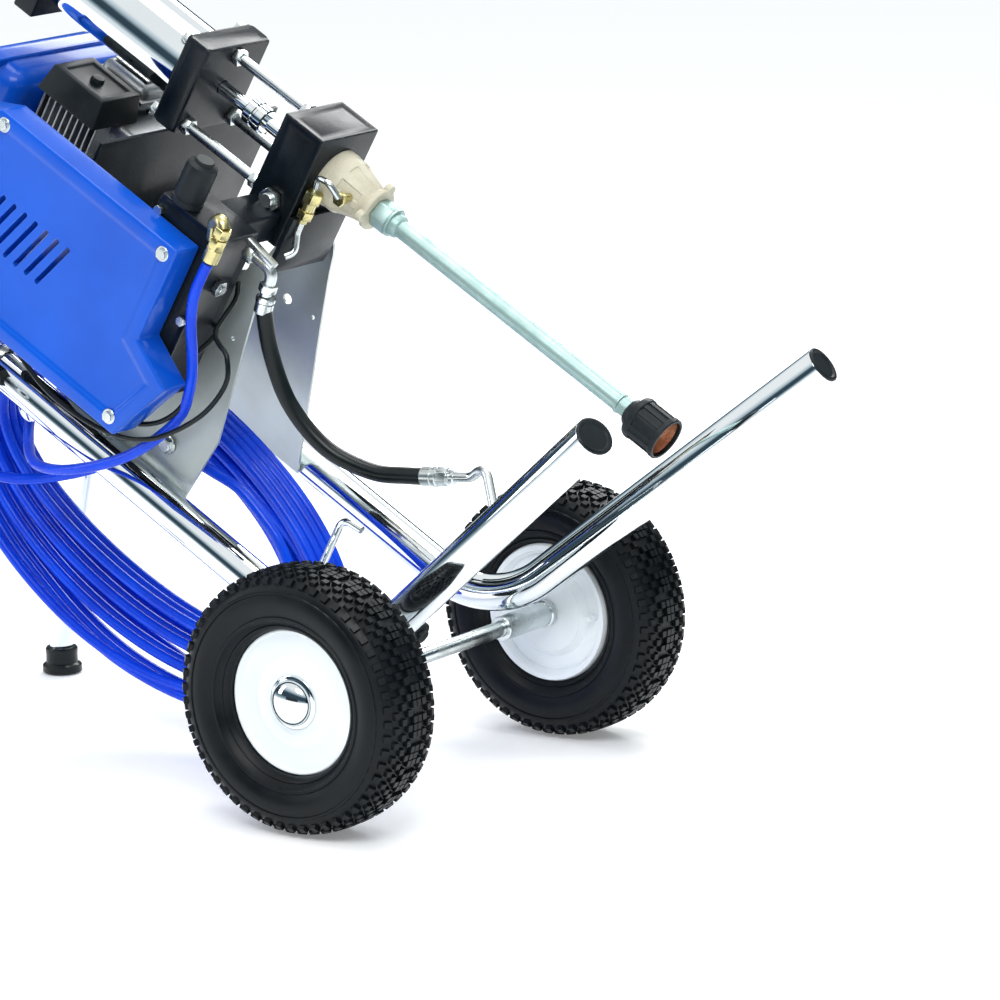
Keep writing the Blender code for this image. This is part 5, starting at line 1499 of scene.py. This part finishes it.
# %% Guard
BELT_OUT = 0.1790
GUARD_DEPTH = 0.034
GUARD_OUT = -(BELT_OUT + GUARD_DEPTH / 2 + 0.004)
outline = [(0.280, 0.318), (0.280, 0.560), (0.254, 0.612), (0.120, 0.628), (0.075, 0.590), (0.075, 0.300),
           (0.152, 0.268), (0.176, 0.318)]
guard = slab("belt_cover", outline, GUARD_DEPTH, (0, GUARD_OUT + GUARD_DEPTH, 0), (math.pi / 2, 0, 0))
edit(guard, lambda c, n: n.y > 0.9)
bpy.ops.mesh.delete(type="FACE")
done()
pressed(guard, lambda c, n: n.y < -0.9, (0.014, 0.0), (0.004, -0.0025), each=False)
guard = eased(guard, 0.0042, 4, 25)
for i in range(7):
    slot = eased(placed(block("slot", (0.058, 0.04, 0.0055), (0.178, GUARD_OUT, 0.440 + 0.0150 * i),
                              (0, 0.35, 0))), 0.0024, 3)
    sunk(guard, slot)
applied(guard, "SOLIDIFY", thickness=0.0022, offset=-1)
settle(guard, CART, "cart", BLUE_PAINT, ["belt_guard"], 30)
screws = [fused("screw", hexagon("head", 0.010, 0.004, (f, GUARD_OUT - 0.0015, u), "-Y"),
                spun("washer", [(0, 0), (0.0072, 0), (0.0076, 0.0005), (0.0070, 0.0010), (0, 0.0010)],
                     (f, GUARD_OUT + 0.0004, u), "-Y", 28))
          for f, u in ((0.268, 0.332), (0.268, 0.552), (0.128, 0.612), (0.089, 0.312))]
hardware("belt_cover_screws", *screws)
print("the guard has", len(guard.data.polygons), "faces")

# %% [markdown]
# ## Spray gun
# The gun hangs in a holder outside the near rail. Its body is a casting with a needle housing behind, a tip
# guard in front and a slanting handle, and the two-finger trigger swings on a pin. The hose ends in a brass
# swivel at the foot of the handle.

# %% Holder, body and handle
GUN_AT = Vector((0.000, -0.166, 0.560))
gx, gy, gz = GUN_AT
holder = block("gun_cradle", (0.034, 0.012, 0.030), (0.0, -RAIL_HALF - TUBE_RADIUS - GAP - 0.006, 0.500))
pressed(holder, lambda c, n: abs(n.x) > 0.9 or abs(n.z) > 0.9, (0.003, -0.0015))
settle(eased(placed(holder), 0.0015, 2), CART, "cart", BLACK_MOULDED, ["gun_holder"])
strap = [(0.0192, -0.006), (0.0204, -0.006), (0.0208, -0.005), (0.0208, 0.005), (0.0204, 0.006),
         (0.0192, 0.006), (0.0192, -0.006)]
settle(spun("gun_cradle_strap", strap, (0, -RAIL_HALF, 0.500), steps=56), CART, "cart", PLATED)
body = block("gun_casting", (0.028, 0.022, 0.104), (gx, gy, gz))
pressed(body, lambda c, n: abs(n.y) > 0.9, (0.005, -0.0018))
body = eased(placed(body), 0.0045, 4)
handle = block("handle", (0.098, 0.020, 0.027), (gx - 0.055, gy, gz + 0.038), (0, math.radians(-14), 0))
edit(handle, lambda c, n: abs(n.x) < 0.1)
bpy.ops.mesh.subdivide(number_cuts=3)
done()
handle = eased(placed(handle), 0.0065, 4, 50)
needle = spun("needle_housing",
              [(0, 0), (0.0118, 0), (0.0124, 0.0008), (0.0124, 0.006), (0.0105, 0.007), (0.0105, 0.012),
               (0.0090, 0.014), (0, 0.014)], (gx, gy, gz + 0.050), steps=48)
tip = spun("tip_guard",
           [(0, 0), (0.0135, 0), (0.0150, 0.0012), (0.0150, 0.0100), (0.0136, 0.0112), (0.0136, 0.0180),
            (0.0120, 0.0200), (0.0120, 0.0300), (0.0100, 0.0340), (0.0052, 0.0340), (0.0040, 0.0290),
            (0, 0.0290)], (gx, gy, gz - 0.0505), "-Z", 56)
settle(fused("gun_casting", body, handle, needle, tip), CART, "cart", ENGINE_CAST, ["gun_body"], 32)
fitting("gun_inlet_brass", (gx - 0.1120, gy, gz + 0.0440), (0.97, 0, -0.242),
        (("round", 0.013, 0.004), ("hex", 0.014, 0.008)), BRASS)
pin = spun("trigger_pin",
           [(0, 0), (0.0034, 0), (0.0038, 0.0005), (0.0038, 0.0254), (0.0034, 0.0260), (0, 0.0260)],
           (gx - 0.0105, gy - 0.0130, gz - 0.016), "Y", 32)
settle(pin, CART, "cart", PLATED)
pull = rounded([(0, 0, 0), (-0.020, 0, 0.006), (-0.078, 0, -0.006)], 0.012, 10)
pull = swept("trigger_bow", [p + Vector((gx - 0.019, gy, gz - 0.016)) for p in pull], 0.0042, 7)
for vertex in pull.data.vertices:
    vertex.co.y = gy + (vertex.co.y - gy) * 1.7
settle(pull, CART, "trigger", PLATED, ["gun_trigger"], 40)

# %% Sizes
print(len(made), "new pieces")
low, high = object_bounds()
